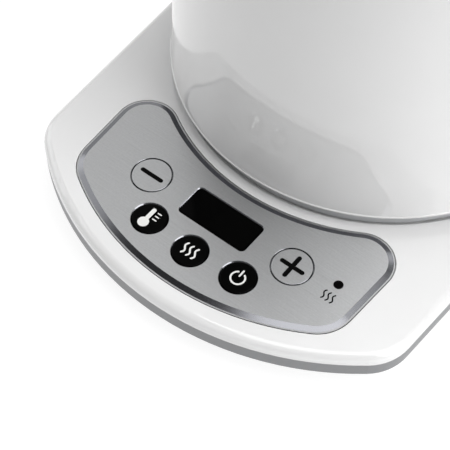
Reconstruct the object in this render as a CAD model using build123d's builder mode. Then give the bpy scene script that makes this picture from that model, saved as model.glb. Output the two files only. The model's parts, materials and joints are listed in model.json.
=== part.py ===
"""Cordless electric kettle on a base with temperature keys, as an assembly of separate pieces.

Frame: millimetres, +Z up, origin on the kettle's axis at table height, front of the base towards -Y,
handle towards +X, spout towards -X.
"""

import os
from math import cos, hypot, radians, sin, sqrt

from build123d import *

os.makedirs("parts", exist_ok=True)

# ---------------------------------------------------------------- driving dimensions: heights
FOOT_PROUD = 2.0  # rubber feet below the bottom cover
SEAM_Z = 16.4  # joint between white top cover and grey bottom cover
BAND_LOW_Z = 11.0  # lower edge of the upright grey band
COVER_TOP_Z = 20.3  # white surface round the panel
PANEL_TOP_Z = 21.0
PANEL_SEAT_Z = 18.0
WELL_FLOOR_Z = 17.3
KETTLE_REST_GAP = 0.3
BODY_LOW_Z = 25.9  # lower edge of the kettle's white shell
BODY_TOP_Z = 196.0
COLLAR_TOP_Z = 204.0

# ---------------------------------------------------------------- driving dimensions: plan of the base
BASE_FRONT_R = 107.2
BASE_FRONT_CENTRE_Y = -21.3
BASE_SIDE_X = 79.3  # half width where y = 0
BASE_SIDE_SLOPE = 0.051
BASE_CORNER_R = 17.5
WELL_R = 73.5
WALL = 2.2
UNDERCUT = 8.5  # the grey shell draws in by this much below its band

PANEL_FRONT_R = 94.1
PANEL_FRONT_CENTRE_Y = -27.2
PANEL_SIDE_X = 60.9
PANEL_SIDE_SLOPE = 0.055
PANEL_BACK_R = 77.5  # concentric with the kettle
PANEL_BACK_CORNER_R = 11.2
PANEL_FRONT_CORNER_R = 14.0
PANEL_LIP = 0.5  # flat edge of the panel outside its bevel
PANEL_BEVEL_WIDTH = 1.85
PANEL_BEVEL_HEIGHT = 0.7
PANEL_BEVEL_TOE = 0.02  # upright left at the bevel's outer edge

# ---------------------------------------------------------------- driving dimensions: panel furniture
STEP_KEY_R = 6.9  # minus and plus
STEP_KEY_X = 29.58
STEP_KEY_Y = -91.88
ROUND_KEY_R = 5.88  # temperature, heat, power
ROUND_KEYS = {
    "temperature_key": (-18.57, -105.96),
    "heat_key": (0.0, -107.63),
    "power_key": (18.57, -105.96),
}
STEP_KEYS = {
    "minus_key": (-STEP_KEY_X, STEP_KEY_Y),
    "plus_key": (STEP_KEY_X, STEP_KEY_Y),
}
STEP_HOLE_R = STEP_KEY_R + 0.3
ROUND_HOLE_R = ROUND_KEY_R + 0.2
STEP_KEY_RIM = 0.1  # width of the bright chamfer round a key hole
ROUND_KEY_RIM = 0.38
KEY_TRAVEL = 0.5
DISPLAY_Y = -91.46
DISPLAY_SIZE = (26.6, 11.6)
DISPLAY_RIM = 0.45
INDICATOR_AT = (45.26, -88.22)
INDICATOR_R = 1.6
BOARD_Z = 10.5
BOARD_THICK = 1.6

# ---------------------------------------------------------------- driving dimensions: kettle
BODY_LOW_R = 75.0
BODY_TAPER = 0.05  # radius lost per unit of height
SHELL_WALL = 2.2
VESSEL_GAP = 2.6  # air between shell and vessel
VESSEL_WALL = 0.8
VESSEL_FLOOR_Z = 36.0
BOTTOM_COVER_R = 71.6
LID_R = 58.3
RIM_BORE_R = 58.9
SHELF_Z = 201.3
SHELF_BORE_R = 57.2
HINGE_X = 53.4
HINGE_Z = 203.0
HINGE_PIN_R = 1.5
PIN_CLEARANCE = 0.05
LID_CHORD_X = 49.0
BUTTON_X = 26.0
BUTTON_R = 9.0
BUTTON_TRAVEL = 2.5
HANDLE_REACH_X = 116.0
HANDLE_WIDTH = 25.0
HANDLE_ROUND = 5.0
SPOUT_TIP_X = -91.0

CLEAR = 0.3


# ---------------------------------------------------------------- helpers
def shell_radius(z):
    """Outer radius of the tapering kettle body at a height."""
    return BODY_LOW_R - BODY_TAPER * (z - BODY_LOW_Z)


def vessel_radius(z):
    """Outer radius of the steel vessel at a height."""
    return shell_radius(z) - SHELL_WALL - VESSEL_GAP


def corner_on_side(side_x, slope, arc_r, centre_y):
    """Front corner: where the side line x = side_x + slope * y meets the front arc."""
    a = 1 + slope**2
    b = 2 * (side_x * slope - centre_y)
    c = side_x**2 + centre_y**2 - arc_r**2
    y = (-b - sqrt(b * b - 4 * a * c)) / (2 * a)
    return side_x + slope * y, y


def base_outline(inset):
    """Sketch of the base in plan: round back, nearly straight sides, bowed front."""
    steep = hypot(1, BASE_SIDE_SLOPE)
    back_r = BASE_SIDE_X / steep
    tangent_x = back_r / steep
    tangent_y = -back_r * BASE_SIDE_SLOPE / steep
    corner_x, corner_y = corner_on_side(
        BASE_SIDE_X, BASE_SIDE_SLOPE, BASE_FRONT_R, BASE_FRONT_CENTRE_Y
    )
    front_y = BASE_FRONT_CENTRE_Y - BASE_FRONT_R
    with BuildSketch() as outline:
        with BuildLine():
            ThreePointArc((tangent_x, tangent_y), (0, back_r), (-tangent_x, tangent_y))
            Line((-tangent_x, tangent_y), (-corner_x, corner_y))
            ThreePointArc((-corner_x, corner_y), (0, front_y), (corner_x, corner_y))
            Line((corner_x, corner_y), (tangent_x, tangent_y))
        make_face()
        fillet(outline.vertices().group_by(Axis.Y)[0], BASE_CORNER_R)
        if inset:
            offset(amount=-inset, kind=Kind.INTERSECTION)
    return outline.sketch


def panel_outline(grow):
    """Sketch of the panel in plan: the kettle's circle at the back, flowing into round corners."""
    steep = hypot(1, PANEL_SIDE_SLOPE)
    line_x = PANEL_SIDE_X - PANEL_BACK_CORNER_R * steep
    a = 1 + PANEL_SIDE_SLOPE**2
    b = 2 * line_x * PANEL_SIDE_SLOPE
    c = line_x**2 - (PANEL_BACK_R + PANEL_BACK_CORNER_R) ** 2
    centre_y = (-b - sqrt(b * b - 4 * a * c)) / (2 * a)
    centre_x = line_x + PANEL_SIDE_SLOPE * centre_y
    reach = hypot(centre_x, centre_y)
    flow_x = centre_x * PANEL_BACK_R / reach
    flow_y = centre_y * PANEL_BACK_R / reach
    side_x = centre_x + PANEL_BACK_CORNER_R / steep
    side_y = centre_y - PANEL_BACK_CORNER_R * PANEL_SIDE_SLOPE / steep
    top_x = centre_x + PANEL_BACK_CORNER_R * sin(radians(10))
    top_y = centre_y + PANEL_BACK_CORNER_R * cos(radians(10))
    corner_x, corner_y = corner_on_side(
        PANEL_SIDE_X, PANEL_SIDE_SLOPE, PANEL_FRONT_R, PANEL_FRONT_CENTRE_Y
    )
    front_y = PANEL_FRONT_CENTRE_Y - PANEL_FRONT_R
    with BuildSketch() as outline:
        with BuildLine():
            ThreePointArc((-flow_x, flow_y), (0, -PANEL_BACK_R), (flow_x, flow_y))
            for s in (1, -1):
                ThreePointArc((s * flow_x, flow_y), (s * top_x, top_y), (s * side_x, side_y))
                Line((s * side_x, side_y), (s * corner_x, corner_y))
            ThreePointArc((-corner_x, corner_y), (0, front_y), (corner_x, corner_y))
        make_face()
        fillet(outline.vertices().group_by(Axis.Y)[0], PANEL_FRONT_CORNER_R)
        if grow:
            offset(amount=grow)
    return outline.sketch


def save(builder, name):
    """Label a finished piece and write it as its own STEP file."""
    builder.part.label = name
    export_step(builder.part, f"parts/{name}.step")


SCREW_POINTS = [(57.5, -74.0), (-57.5, -74.0), (49.46, 34.66), (-49.46, 34.66)]
SCREW_R = 1.4
SCREW_HEAD_R = 2.9
PILLAR_LOW_Z = 6.3
ALL_KEYS = {**STEP_KEYS, **ROUND_KEYS}

# ================================================================ base
# White top cover: a low shell with a round well for the kettle and a shaped recess for the panel.
CONNECTOR_HOLE_R = 20.9
with BuildPart() as base_top_cover:
    with BuildSketch(Plane.XY.offset(SEAM_Z)):
        add(base_outline(0))
    extrude(amount=COVER_TOP_Z - SEAM_Z)
    fillet(base_top_cover.edges().group_by(Axis.Z)[-1], 2.8)
    with BuildSketch(Plane.XY.offset(SEAM_Z)):
        add(base_outline(WALL))
    extrude(amount=COVER_TOP_Z - SEAM_Z - WALL, mode=Mode.SUBTRACT)
    # tongue that locates inside the bottom cover
    with BuildSketch(Plane.XY.offset(SEAM_Z - 1.6)):
        add(base_outline(WALL + 0.2))
        add(base_outline(WALL + 1.6), mode=Mode.SUBTRACT)
    extrude(amount=COVER_TOP_Z - SEAM_Z - WALL + 1.6)
    # well: round wall and floor
    with BuildSketch(Plane.XY.offset(WELL_FLOOR_Z - 2.0)):
        Circle(WELL_R + WALL)
    extrude(amount=COVER_TOP_Z - WALL - WELL_FLOOR_Z + 2.0)
    with BuildSketch(Plane.XY.offset(WELL_FLOOR_Z)):
        Circle(WELL_R)
    extrude(amount=COVER_TOP_Z, mode=Mode.SUBTRACT)
    with BuildSketch(Plane.XY.offset(WELL_FLOOR_Z - 3.0)):
        Circle(CONNECTOR_HOLE_R)
    extrude(amount=6.0, mode=Mode.SUBTRACT)
    # ledge under the edge of the panel, then the recess and its opening
    with BuildSketch(Plane.XY.offset(PANEL_SEAT_Z - WALL)):
        add(panel_outline(2.5))
    extrude(amount=WALL)
    with BuildSketch(Plane.XY.offset(PANEL_SEAT_Z)):
        add(panel_outline(CLEAR))
    extrude(amount=WALL + 2.0, mode=Mode.SUBTRACT)
    with BuildSketch(Plane.XY.offset(PANEL_SEAT_Z - WALL - 1.0)):
        add(panel_outline(-4.5))
    extrude(amount=WALL + 2.0, mode=Mode.SUBTRACT)
    # the ledge stops clear of the well, which stays one round bowl
    with BuildSketch(Plane.XY.offset(WELL_FLOOR_Z)):
        Circle(WELL_R)
    extrude(amount=6.0, mode=Mode.SUBTRACT)
    # screw pillars
    with BuildSketch(Plane.XY.offset(PILLAR_LOW_Z)):
        with Locations(*SCREW_POINTS):
            Circle(3.4)
    extrude(amount=PANEL_SEAT_Z - WALL - PILLAR_LOW_Z + 0.6)
    with BuildSketch(Plane.XY.offset(PILLAR_LOW_Z)):
        with Locations(*SCREW_POINTS):
            Circle(SCREW_R)
    extrude(amount=7.5, mode=Mode.SUBTRACT)
save(base_top_cover, "base_top_cover")

# Grey skirt: upright band, then a long undercut, and a lip that holds the bottom plate's edge.
BOTTOM_Z = FOOT_PROUD
PLATE_TOP_Z = BOTTOM_Z + 2.0
LIP_TOP_Z = PLATE_TOP_Z + 1.2
PLATE_INSET = UNDERCUT + 2.0
GLAND_Z = 9.6
GLAND_NECK = 9.0  # side of the square neck, which keeps the gland from turning
GLAND_FLANGE_R = 5.4
with BuildPart() as base_skirt:
    with BuildSketch(Plane.XY.offset(BOTTOM_Z)):
        add(base_outline(0))
    extrude(amount=SEAM_Z - BOTTOM_Z)
    bottom = base_skirt.faces().sort_by(Axis.Z)[0]
    chamfer(bottom.edges(), UNDERCUT, BAND_LOW_Z - BOTTOM_Z, reference=bottom)
    with BuildSketch(Plane.XY.offset(BAND_LOW_Z)):
        add(base_outline(WALL))
    extrude(amount=SEAM_Z - BAND_LOW_Z, mode=Mode.SUBTRACT)
    with BuildSketch(Plane.XY.offset(BAND_LOW_Z)):
        add(base_outline(WALL))
    extrude(amount=-(BAND_LOW_Z - LIP_TOP_Z), taper=44.0, mode=Mode.SUBTRACT)
    with BuildSketch(Plane.XY.offset(BOTTOM_Z)):
        add(base_outline(PLATE_INSET - 0.2))
    extrude(amount=PLATE_TOP_Z - BOTTOM_Z, mode=Mode.SUBTRACT)
    with BuildSketch(Plane.XY.offset(BOTTOM_Z)):
        add(base_outline(PLATE_INSET + 2.0))
    extrude(amount=LIP_TOP_Z - BOTTOM_Z, mode=Mode.SUBTRACT)
    # square cord entry at the back, and room for the gland's inner flange
    with BuildSketch(Plane.XZ.offset(-60.0)):
        with Locations((0, GLAND_Z)):
            RectangleRounded(GLAND_NECK, GLAND_NECK, 1.2)
    extrude(amount=-25.0, mode=Mode.SUBTRACT)
    with Locations((0, 60.0, GLAND_Z)):
        Box(
            2 * (GLAND_FLANGE_R + CLEAR),
            9.0,
            2 * (GLAND_FLANGE_R + CLEAR),
            align=(Align.CENTER, Align.MIN, Align.CENTER),
            mode=Mode.SUBTRACT,
        )
save(base_skirt, "base_skirt")

# Grey bottom plate: flat, with bosses for the screw heads and seats for the rubber feet.
FOOT_RING_R = (50.0, 55.5)
PAD_POINTS = [(42.0, -96.0), (-42.0, -96.0)]
PAD_R = 6.0
with BuildPart() as base_bottom_plate:
    with BuildSketch(Plane.XY.offset(BOTTOM_Z)):
        add(base_outline(PLATE_INSET))
    extrude(amount=PLATE_TOP_Z - BOTTOM_Z)
    with BuildSketch(Plane.XY.offset(BOTTOM_Z)):
        with Locations(*SCREW_POINTS):
            Circle(4.4)
    extrude(amount=PILLAR_LOW_Z - BOTTOM_Z)
    with BuildSketch(Plane.XY.offset(BOTTOM_Z)):
        with Locations(*SCREW_POINTS):
            Circle(3.1)
    extrude(amount=2.4, mode=Mode.SUBTRACT)
    with BuildSketch(Plane.XY.offset(BOTTOM_Z)):
        with Locations(*SCREW_POINTS):
            Circle(1.7)
    extrude(amount=8.0, mode=Mode.SUBTRACT)
    with BuildSketch(Plane.XY.offset(BOTTOM_Z)):
        Circle(FOOT_RING_R[1])
        Circle(FOOT_RING_R[0], mode=Mode.SUBTRACT)
        with Locations(*PAD_POINTS):
            Circle(PAD_R)
    extrude(amount=0.8, mode=Mode.SUBTRACT)
save(base_bottom_plate, "base_bottom_plate")

# Rubber: one ring under the well, two pads under the front.
with BuildPart() as foot_ring:
    with BuildSketch():
        Circle(FOOT_RING_R[1])
        Circle(FOOT_RING_R[0], mode=Mode.SUBTRACT)
    extrude(amount=BOTTOM_Z + 0.8)
    chamfer(foot_ring.edges().group_by(Axis.Z)[0], 0.6)
save(foot_ring, "foot_ring")

with BuildPart() as front_feet:
    with BuildSketch():
        with Locations(*PAD_POINTS):
            Circle(PAD_R)
    extrude(amount=BOTTOM_Z + 0.8)
    chamfer(front_feet.edges().group_by(Axis.Z)[0], 0.6)
save(front_feet, "front_feet")

# Self-tapping screws, heads up inside the bosses.
with BuildPart() as base_screws:
    with BuildSketch(Plane.XY.offset(BOTTOM_Z + 0.6)):
        with Locations(*SCREW_POINTS):
            Circle(SCREW_HEAD_R)
    extrude(amount=1.8)
    with BuildSketch(Plane.XY.offset(BOTTOM_Z + 2.4)):
        with Locations(*SCREW_POINTS):
            Circle(SCREW_R)
    extrude(amount=9.0)
    # cross recess
    with BuildSketch(Plane.XY.offset(BOTTOM_Z + 0.6)):
        with Locations(*SCREW_POINTS):
            Rectangle(3.2, 0.8)
            Rectangle(0.8, 3.2)
    extrude(amount=1.0, mode=Mode.SUBTRACT)
save(base_screws, "base_screws")

# Cord gland: a flanged bush with a square neck, through the back wall.
GLAND_BORE_R = 3.5
with BuildPart() as cord_gland:
    with BuildSketch(Plane.XZ.offset(-66.0)):
        with Locations((0, GLAND_Z)):
            RectangleRounded(GLAND_NECK, GLAND_NECK, 1.2)
    extrude(amount=-14.0)
    with BuildSketch(Plane.XZ.offset(-79.3)):
        with Locations((0, GLAND_Z)):
            Circle(6.2)
    extrude(amount=-2.4)
    with BuildSketch(Plane.XZ.offset(-66.0)):
        with Locations((0, GLAND_Z)):
            Circle(GLAND_FLANGE_R)
    extrude(amount=-2.2)
    fillet(cord_gland.edges().group_by(Axis.Y)[-1], 0.8)
    with BuildSketch(Plane.XZ.offset(-60.0)):
        with Locations((0, GLAND_Z)):
            Circle(GLAND_BORE_R)
    extrude(amount=-25.0, mode=Mode.SUBTRACT)
save(cord_gland, "cord_gland")

# Brushed panel with a narrow flat lip, a wide low bevel, key holes and the display opening.
with BuildPart() as panel_plate:
    with BuildSketch(Plane.XY.offset(PANEL_SEAT_Z)):
        add(panel_outline(0))
    extrude(amount=PANEL_TOP_Z - PANEL_BEVEL_HEIGHT - PANEL_SEAT_Z)
    with BuildSketch(Plane.XY.offset(PANEL_TOP_Z - PANEL_BEVEL_HEIGHT)):
        add(panel_outline(-PANEL_LIP))
    extrude(amount=PANEL_BEVEL_HEIGHT)
    top = panel_plate.faces().sort_by(Axis.Z)[-1]
    chamfer(top.edges(), PANEL_BEVEL_WIDTH, PANEL_BEVEL_HEIGHT - PANEL_BEVEL_TOE, reference=top)
    with BuildSketch(Plane.XY.offset(PANEL_SEAT_Z - 1.0)):
        with Locations(*STEP_KEYS.values()):
            Circle(STEP_HOLE_R)
        with Locations(*ROUND_KEYS.values()):
            Circle(ROUND_HOLE_R)
        with Locations((0, DISPLAY_Y)):
            RectangleRounded(DISPLAY_SIZE[0] + 0.3, DISPLAY_SIZE[1] + 0.3, 1.4)
        with Locations(INDICATOR_AT):
            Circle(INDICATOR_R + 0.05)
    extrude(amount=6.0, mode=Mode.SUBTRACT)
    for hole_r, rim in ((STEP_HOLE_R, STEP_KEY_RIM), (ROUND_HOLE_R, ROUND_KEY_RIM)):
        circles = panel_plate.edges().group_by(Axis.Z)[-1].filter_by(GeomType.CIRCLE)
        chamfer(circles.filter_by(lambda edge: abs(edge.radius - hole_r) < 0.01), rim)
    display_edges = panel_plate.edges().group_by(Axis.Z)[-1].filter_by(
        lambda edge: abs(edge.center().X) < 15.0 and abs(edge.center().Y - DISPLAY_Y) < 8.0
    )
    chamfer(display_edges, DISPLAY_RIM)
save(panel_plate, "panel_plate")

# Display: smoked window over a digit module.
BOARD_TOP_Z = BOARD_Z + BOARD_THICK
with BuildPart() as display_window:
    with BuildSketch(Plane.XY.offset(PANEL_SEAT_Z + 0.6)):
        with Locations((0, DISPLAY_Y)):
            RectangleRounded(*DISPLAY_SIZE, 1.25)
    extrude(amount=PANEL_TOP_Z - PANEL_SEAT_Z - 0.7)
save(display_window, "display_window")

with BuildPart() as display_module:
    with BuildSketch(Plane.XY.offset(BOARD_TOP_Z)):
        with Locations((0, DISPLAY_Y)):
            Rectangle(25.4, 10.4)
    extrude(amount=PANEL_SEAT_Z + 0.5 - BOARD_TOP_Z)
    chamfer(display_module.edges().group_by(Axis.Z)[-1], 0.4)
save(display_module, "display_module")

with BuildPart() as heating_indicator:
    with BuildSketch(Plane.XY.offset(BOARD_TOP_Z)):
        with Locations(INDICATOR_AT):
            Circle(INDICATOR_R)
    extrude(amount=PANEL_TOP_Z + 0.15 - BOARD_TOP_Z)
    fillet(heating_indicator.edges().group_by(Axis.Z)[-1], 0.3)
save(heating_indicator, "heating_indicator")

# Control board, following the arc of the keys.
with BuildPart() as control_board:
    with BuildSketch(Plane.XY.offset(BOARD_Z)):
        with Locations((0, -97.5)):
            RectangleRounded(98.0, 32.0, 6.0)
    extrude(amount=BOARD_THICK)
save(control_board, "control_board")

# One square push switch under each key.
SWITCH_TOP_Z = 15.6
with BuildPart() as key_switches:
    with BuildSketch(Plane.XY.offset(BOARD_TOP_Z)):
        with Locations(*ALL_KEYS.values()):
            RectangleRounded(6.0, 6.0, 0.4)
    extrude(amount=2.6)
    with BuildSketch(Plane.XY.offset(BOARD_TOP_Z + 2.6)):
        with Locations(*ALL_KEYS.values()):
            Circle(1.7)
    extrude(amount=SWITCH_TOP_Z - BOARD_TOP_Z - 2.6)
save(key_switches, "key_switches")

with BuildPart() as buzzer:
    with BuildSketch(Plane.XY.offset(BOARD_TOP_Z)):
        with Locations((-41.0, -94.0)):
            Circle(5.0)
    extrude(amount=3.2)
    with BuildSketch(Plane.XY.offset(BOARD_TOP_Z + 2.2)):
        with Locations((-41.0, -94.0)):
            Circle(1.0)
    extrude(amount=2.0, mode=Mode.SUBTRACT)
save(buzzer, "buzzer")

# Mains board behind the connector, with its larger parts.
POWER_BOARD_Z = 5.2
POWER_TOP_Z = POWER_BOARD_Z + 1.6
with BuildPart() as power_board:
    with BuildSketch(Plane.XY.offset(POWER_BOARD_Z)):
        with Locations((0, 44.0)):
            RectangleRounded(76.0, 30.0, 3.0)
    extrude(amount=1.6)
save(power_board, "power_board")

with BuildPart() as relay:
    with Locations((-22.0, 44.0, POWER_TOP_Z)):
        Box(19.0, 15.4, 7.6, align=(Align.CENTER, Align.CENTER, Align.MIN))
    fillet(relay.edges().filter_by(Axis.Z), 0.8)
save(relay, "relay")

with BuildPart() as supply_transformer:
    with Locations((4.0, 44.0, POWER_TOP_Z)):
        Box(16.0, 14.0, 7.4, align=(Align.CENTER, Align.CENTER, Align.MIN))
    with Locations((4.0, 44.0, POWER_TOP_Z + 1.2)):
        Box(11.0, 18.0, 5.0, align=(Align.CENTER, Align.CENTER, Align.MIN))
save(supply_transformer, "supply_transformer")

with BuildPart() as smoothing_capacitor:
    with BuildSketch(Plane.YZ.offset(17.0)):
        with Locations((44.0, POWER_TOP_Z + 4.0)):
            Circle(4.0)
    extrude(amount=14.0)
    fillet(smoothing_capacitor.edges().group_by(Axis.X)[-1], 0.6)
save(smoothing_capacitor, "smoothing_capacitor")

# Central connector: a column with a ring groove and a middle hole, held under the well floor.
COLUMN_R = 13.5
COLUMN_TOP_Z = 26.8
GROOVE_R = (8.9, 11.1)
with BuildPart() as base_connector:
    with BuildSketch(Plane.XY.offset(12.3)):
        Circle(25.0)
    extrude(amount=WELL_FLOOR_Z - 2.0 - 12.3)
    with BuildSketch(Plane.XY.offset(5.5)):
        Circle(COLUMN_R)
    extrude(amount=COLUMN_TOP_Z - 5.5)
    fillet(base_connector.edges().group_by(Axis.Z)[-1], 0.8)
    with BuildSketch(Plane.XY.offset(17.5)):
        Circle(GROOVE_R[1])
        Circle(GROOVE_R[0], mode=Mode.SUBTRACT)
        Circle(2.6)
    extrude(amount=12.0, mode=Mode.SUBTRACT)
save(base_connector, "base_connector")

with BuildPart() as base_contacts:
    with BuildSketch(Plane.XY.offset(17.5)):
        Circle(GROOVE_R[1])
        Circle(GROOVE_R[1] - 0.3, mode=Mode.SUBTRACT)
        Circle(GROOVE_R[0] + 0.3)
        Circle(GROOVE_R[0], mode=Mode.SUBTRACT)
        Circle(2.6)
        Circle(2.1, mode=Mode.SUBTRACT)
    extrude(amount=7.0)
save(base_contacts, "base_contacts")

# Slippery ring that turns with the kettle on the connector's flange.
with BuildPart() as coupler_ring:
    with BuildSketch(Plane.XY.offset(WELL_FLOOR_Z - 1.6)):
        Circle(CONNECTOR_HOLE_R - 0.4)
        Circle(COLUMN_R + 0.4, mode=Mode.SUBTRACT)
    extrude(amount=2.1)
    chamfer(coupler_ring.edges().group_by(Axis.Z)[-1], 0.4)
save(coupler_ring, "coupler_ring")

# ---------------------------------------------------------------- keys
KEY_LOW_Z = PANEL_SEAT_Z - CLEAR - 1.0


def make_key(name, x, y, radius):
    """A round cap that comes up through the panel, a flange that holds it in, and a short stem."""
    with BuildPart() as key:
        with BuildSketch(Plane.XY.offset(KEY_LOW_Z)):
            with Locations((x, y)):
                Circle(radius)
        extrude(amount=PANEL_TOP_Z - KEY_LOW_Z)
        fillet(key.edges().group_by(Axis.Z)[-1], 0.25)
        with BuildSketch(Plane.XY.offset(KEY_LOW_Z)):
            with Locations((x, y)):
                Circle(radius + 0.9)
        extrude(amount=1.0)
        with BuildSketch(Plane.XY.offset(SWITCH_TOP_Z + KEY_TRAVEL + 0.3)):
            with Locations((x, y)):
                Circle(2.2)
        extrude(amount=1.0)
    save(key, name)


for name, (x, y) in STEP_KEYS.items():
    make_key(name, x, y, STEP_KEY_R)
for name, (x, y) in ROUND_KEYS.items():
    make_key(name, x, y, ROUND_KEY_R)

# ================================================================ kettle
SPOUT_HALF = 15.0
SPOUT_HOLE_Z = (172.0, 192.0)
HANDLE_SCREW_Z = (68.0, 187.0)

# White outer shell: a tapering tube.
with BuildPart() as outer_shell:
    with BuildSketch(Plane.XZ):
        with BuildLine():
            Polyline(
                (BODY_LOW_R, BODY_LOW_Z),
                (shell_radius(BODY_TOP_Z), BODY_TOP_Z),
                (shell_radius(BODY_TOP_Z) - SHELL_WALL, BODY_TOP_Z),
                (BODY_LOW_R - SHELL_WALL, BODY_LOW_Z),
                close=True,
            )
        make_face()
    revolve(axis=Axis.Z)
    fillet(outer_shell.edges().group_by(Axis.Z)[0].sort_by(SortBy.LENGTH)[-1], 1.2)
    with BuildSketch(Plane.YZ):
        with Locations((0, sum(SPOUT_HOLE_Z) / 2)):
            RectangleRounded(2 * SPOUT_HALF, SPOUT_HOLE_Z[1] - SPOUT_HOLE_Z[0], 3.0)
    extrude(amount=-90.0, mode=Mode.SUBTRACT)
    with BuildSketch(Plane.YZ):
        with Locations(*[(0, z) for z in HANDLE_SCREW_Z]):
            Circle(1.8)
    extrude(amount=90.0, mode=Mode.SUBTRACT)
save(outer_shell, "outer_shell")

# Steel vessel: a tapering wall with a turned-out rim, welded to the edge of a flat floor.
SENSOR_AT = (28.0, 0.0)
SENSOR_R = 3.0
RIM_Z = BODY_TOP_Z + 0.2
VESSEL_FLANGE = 0.7
WALL_LOW_Z = VESSEL_FLOOR_Z + VESSEL_WALL
with BuildPart() as vessel_wall:
    with BuildSketch(Plane.XZ):
        with BuildLine():
            Polyline(
                (vessel_radius(WALL_LOW_Z), WALL_LOW_Z),
                (vessel_radius(RIM_Z), RIM_Z),
                (vessel_radius(RIM_Z) + VESSEL_FLANGE, RIM_Z),
                (vessel_radius(RIM_Z) + VESSEL_FLANGE, RIM_Z + VESSEL_WALL),
                (vessel_radius(RIM_Z) - VESSEL_WALL, RIM_Z + VESSEL_WALL),
                (vessel_radius(WALL_LOW_Z) - VESSEL_WALL, WALL_LOW_Z),
                close=True,
            )
        make_face()
    revolve(axis=Axis.Z)
    with BuildSketch(Plane.YZ):
        with Locations((0, sum(SPOUT_HOLE_Z) / 2)):
            RectangleRounded(2 * SPOUT_HALF, SPOUT_HOLE_Z[1] - SPOUT_HOLE_Z[0], 3.0)
    extrude(amount=-90.0, mode=Mode.SUBTRACT)
save(vessel_wall, "vessel_wall")

with BuildPart() as vessel_floor:
    with BuildSketch(Plane.XY.offset(VESSEL_FLOOR_Z)):
        Circle(vessel_radius(VESSEL_FLOOR_Z))
        with Locations(SENSOR_AT):
            Circle(SENSOR_R, mode=Mode.SUBTRACT)
    extrude(amount=VESSEL_WALL)
save(vessel_floor, "vessel_floor")

# Aluminium plate under the vessel floor, with the heating tube pressed against it.
PLATE_LOW_Z = 32.5
with BuildPart() as heating_plate:
    with BuildSketch(Plane.XY.offset(PLATE_LOW_Z)):
        Circle(58.0)
        with Locations(SENSOR_AT):
            Circle(SENSOR_R, mode=Mode.SUBTRACT)
    extrude(amount=VESSEL_FLOOR_Z - PLATE_LOW_Z)
    chamfer(heating_plate.edges().group_by(Axis.Z)[0], 0.6)
save(heating_plate, "heating_plate")

TUBE_R = 3.2
TUBE_RING_R = 44.0
TUBE_SWEEP = 320.0
with BuildPart() as heating_element:
    with BuildSketch(Plane.XZ):
        with Locations((TUBE_RING_R, PLATE_LOW_Z - TUBE_R)):
            Circle(TUBE_R)
    revolve(axis=Axis.Z, revolution_arc=TUBE_SWEEP)
    # cold ends turn down to their terminals
    with BuildSketch(Plane.XY.offset(22.5)):
        for angle in (0.0, TUBE_SWEEP):
            with Locations((TUBE_RING_R * cos(radians(angle)), TUBE_RING_R * sin(radians(angle)))):
                Circle(1.8)
    extrude(amount=PLATE_LOW_Z - TUBE_R - 22.5)
save(heating_element, "heating_element")

with BuildPart() as temperature_sensor:
    with BuildSketch(Plane.XY.offset(29.5)):
        with Locations(SENSOR_AT):
            Circle(SENSOR_R)
    extrude(amount=10.0)
    fillet(temperature_sensor.edges().group_by(Axis.Z)[-1], 1.2)
    with BuildSketch(Plane.XY.offset(29.5)):
        with Locations(SENSOR_AT):
            Circle(4.4)
    extrude(amount=PLATE_LOW_Z - 29.5)
save(temperature_sensor, "temperature_sensor")

with BuildPart() as thermal_cutouts:
    with BuildSketch(Plane.XY.offset(PLATE_LOW_Z - 4.0)):
        with Locations((-8.0, 32.0), (-8.0, -32.0)):
            Circle(7.0)
    extrude(amount=4.0)
    chamfer(thermal_cutouts.edges().group_by(Axis.Z)[0], 0.8)
save(thermal_cutouts, "thermal_cutouts")

# Grey bottom cover of the kettle: a shallow cup that stands in the base's well.
KETTLE_LOW_Z = WELL_FLOOR_Z + KETTLE_REST_GAP
KETTLE_SOCKET_R = 21.6
COVER_RIM_Z = 34.0
with BuildPart() as kettle_bottom_cover:
    with BuildSketch(Plane.XZ):
        with BuildLine():
            Polyline(
                (KETTLE_SOCKET_R, KETTLE_LOW_Z),
                (BOTTOM_COVER_R, KETTLE_LOW_Z),
                (BOTTOM_COVER_R, COVER_RIM_Z),
                (BOTTOM_COVER_R - 2.0, COVER_RIM_Z),
                (BOTTOM_COVER_R - 2.0, KETTLE_LOW_Z + 2.0),
                (KETTLE_SOCKET_R, KETTLE_LOW_Z + 2.0),
                close=True,
            )
        make_face()
    revolve(axis=Axis.Z)
    fillet(kettle_bottom_cover.edges().group_by(Axis.Z)[0].sort_by(SortBy.LENGTH)[-1], 1.6)
    # narrow lip that the white shell sits on
    with BuildSketch(Plane.XY.offset(BODY_LOW_Z + 1.6)):
        Circle(BODY_LOW_R - SHELL_WALL - 0.25)
        Circle(BOTTOM_COVER_R - 1.0, mode=Mode.SUBTRACT)
    extrude(amount=1.6)
save(kettle_bottom_cover, "kettle_bottom_cover")

# Socket that drops over the base's column.
SOCKET_ROOF_Z = COLUMN_TOP_Z + 1.0
with BuildPart() as kettle_connector:
    with BuildSketch(Plane.XY.offset(KETTLE_LOW_Z + 0.6)):
        Circle(KETTLE_SOCKET_R - 0.6)
    extrude(amount=31.0 - KETTLE_LOW_Z - 0.6)
    with BuildSketch(Plane.XY.offset(KETTLE_LOW_Z + 2.0)):
        Circle(27.0)
    extrude(amount=2.0)
    with BuildSketch(Plane.XY.offset(KETTLE_LOW_Z)):
        Circle(COLUMN_R + 0.6)
    extrude(amount=SOCKET_ROOF_Z - KETTLE_LOW_Z, mode=Mode.SUBTRACT)
save(kettle_connector, "kettle_connector")

with BuildPart() as kettle_contacts:
    with BuildSketch(Plane.XY.offset(19.5)):
        Circle(10.3)
        Circle(9.7, mode=Mode.SUBTRACT)
        Circle(1.6)
    extrude(amount=SOCKET_ROOF_Z - 19.5)
save(kettle_contacts, "kettle_contacts")

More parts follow.
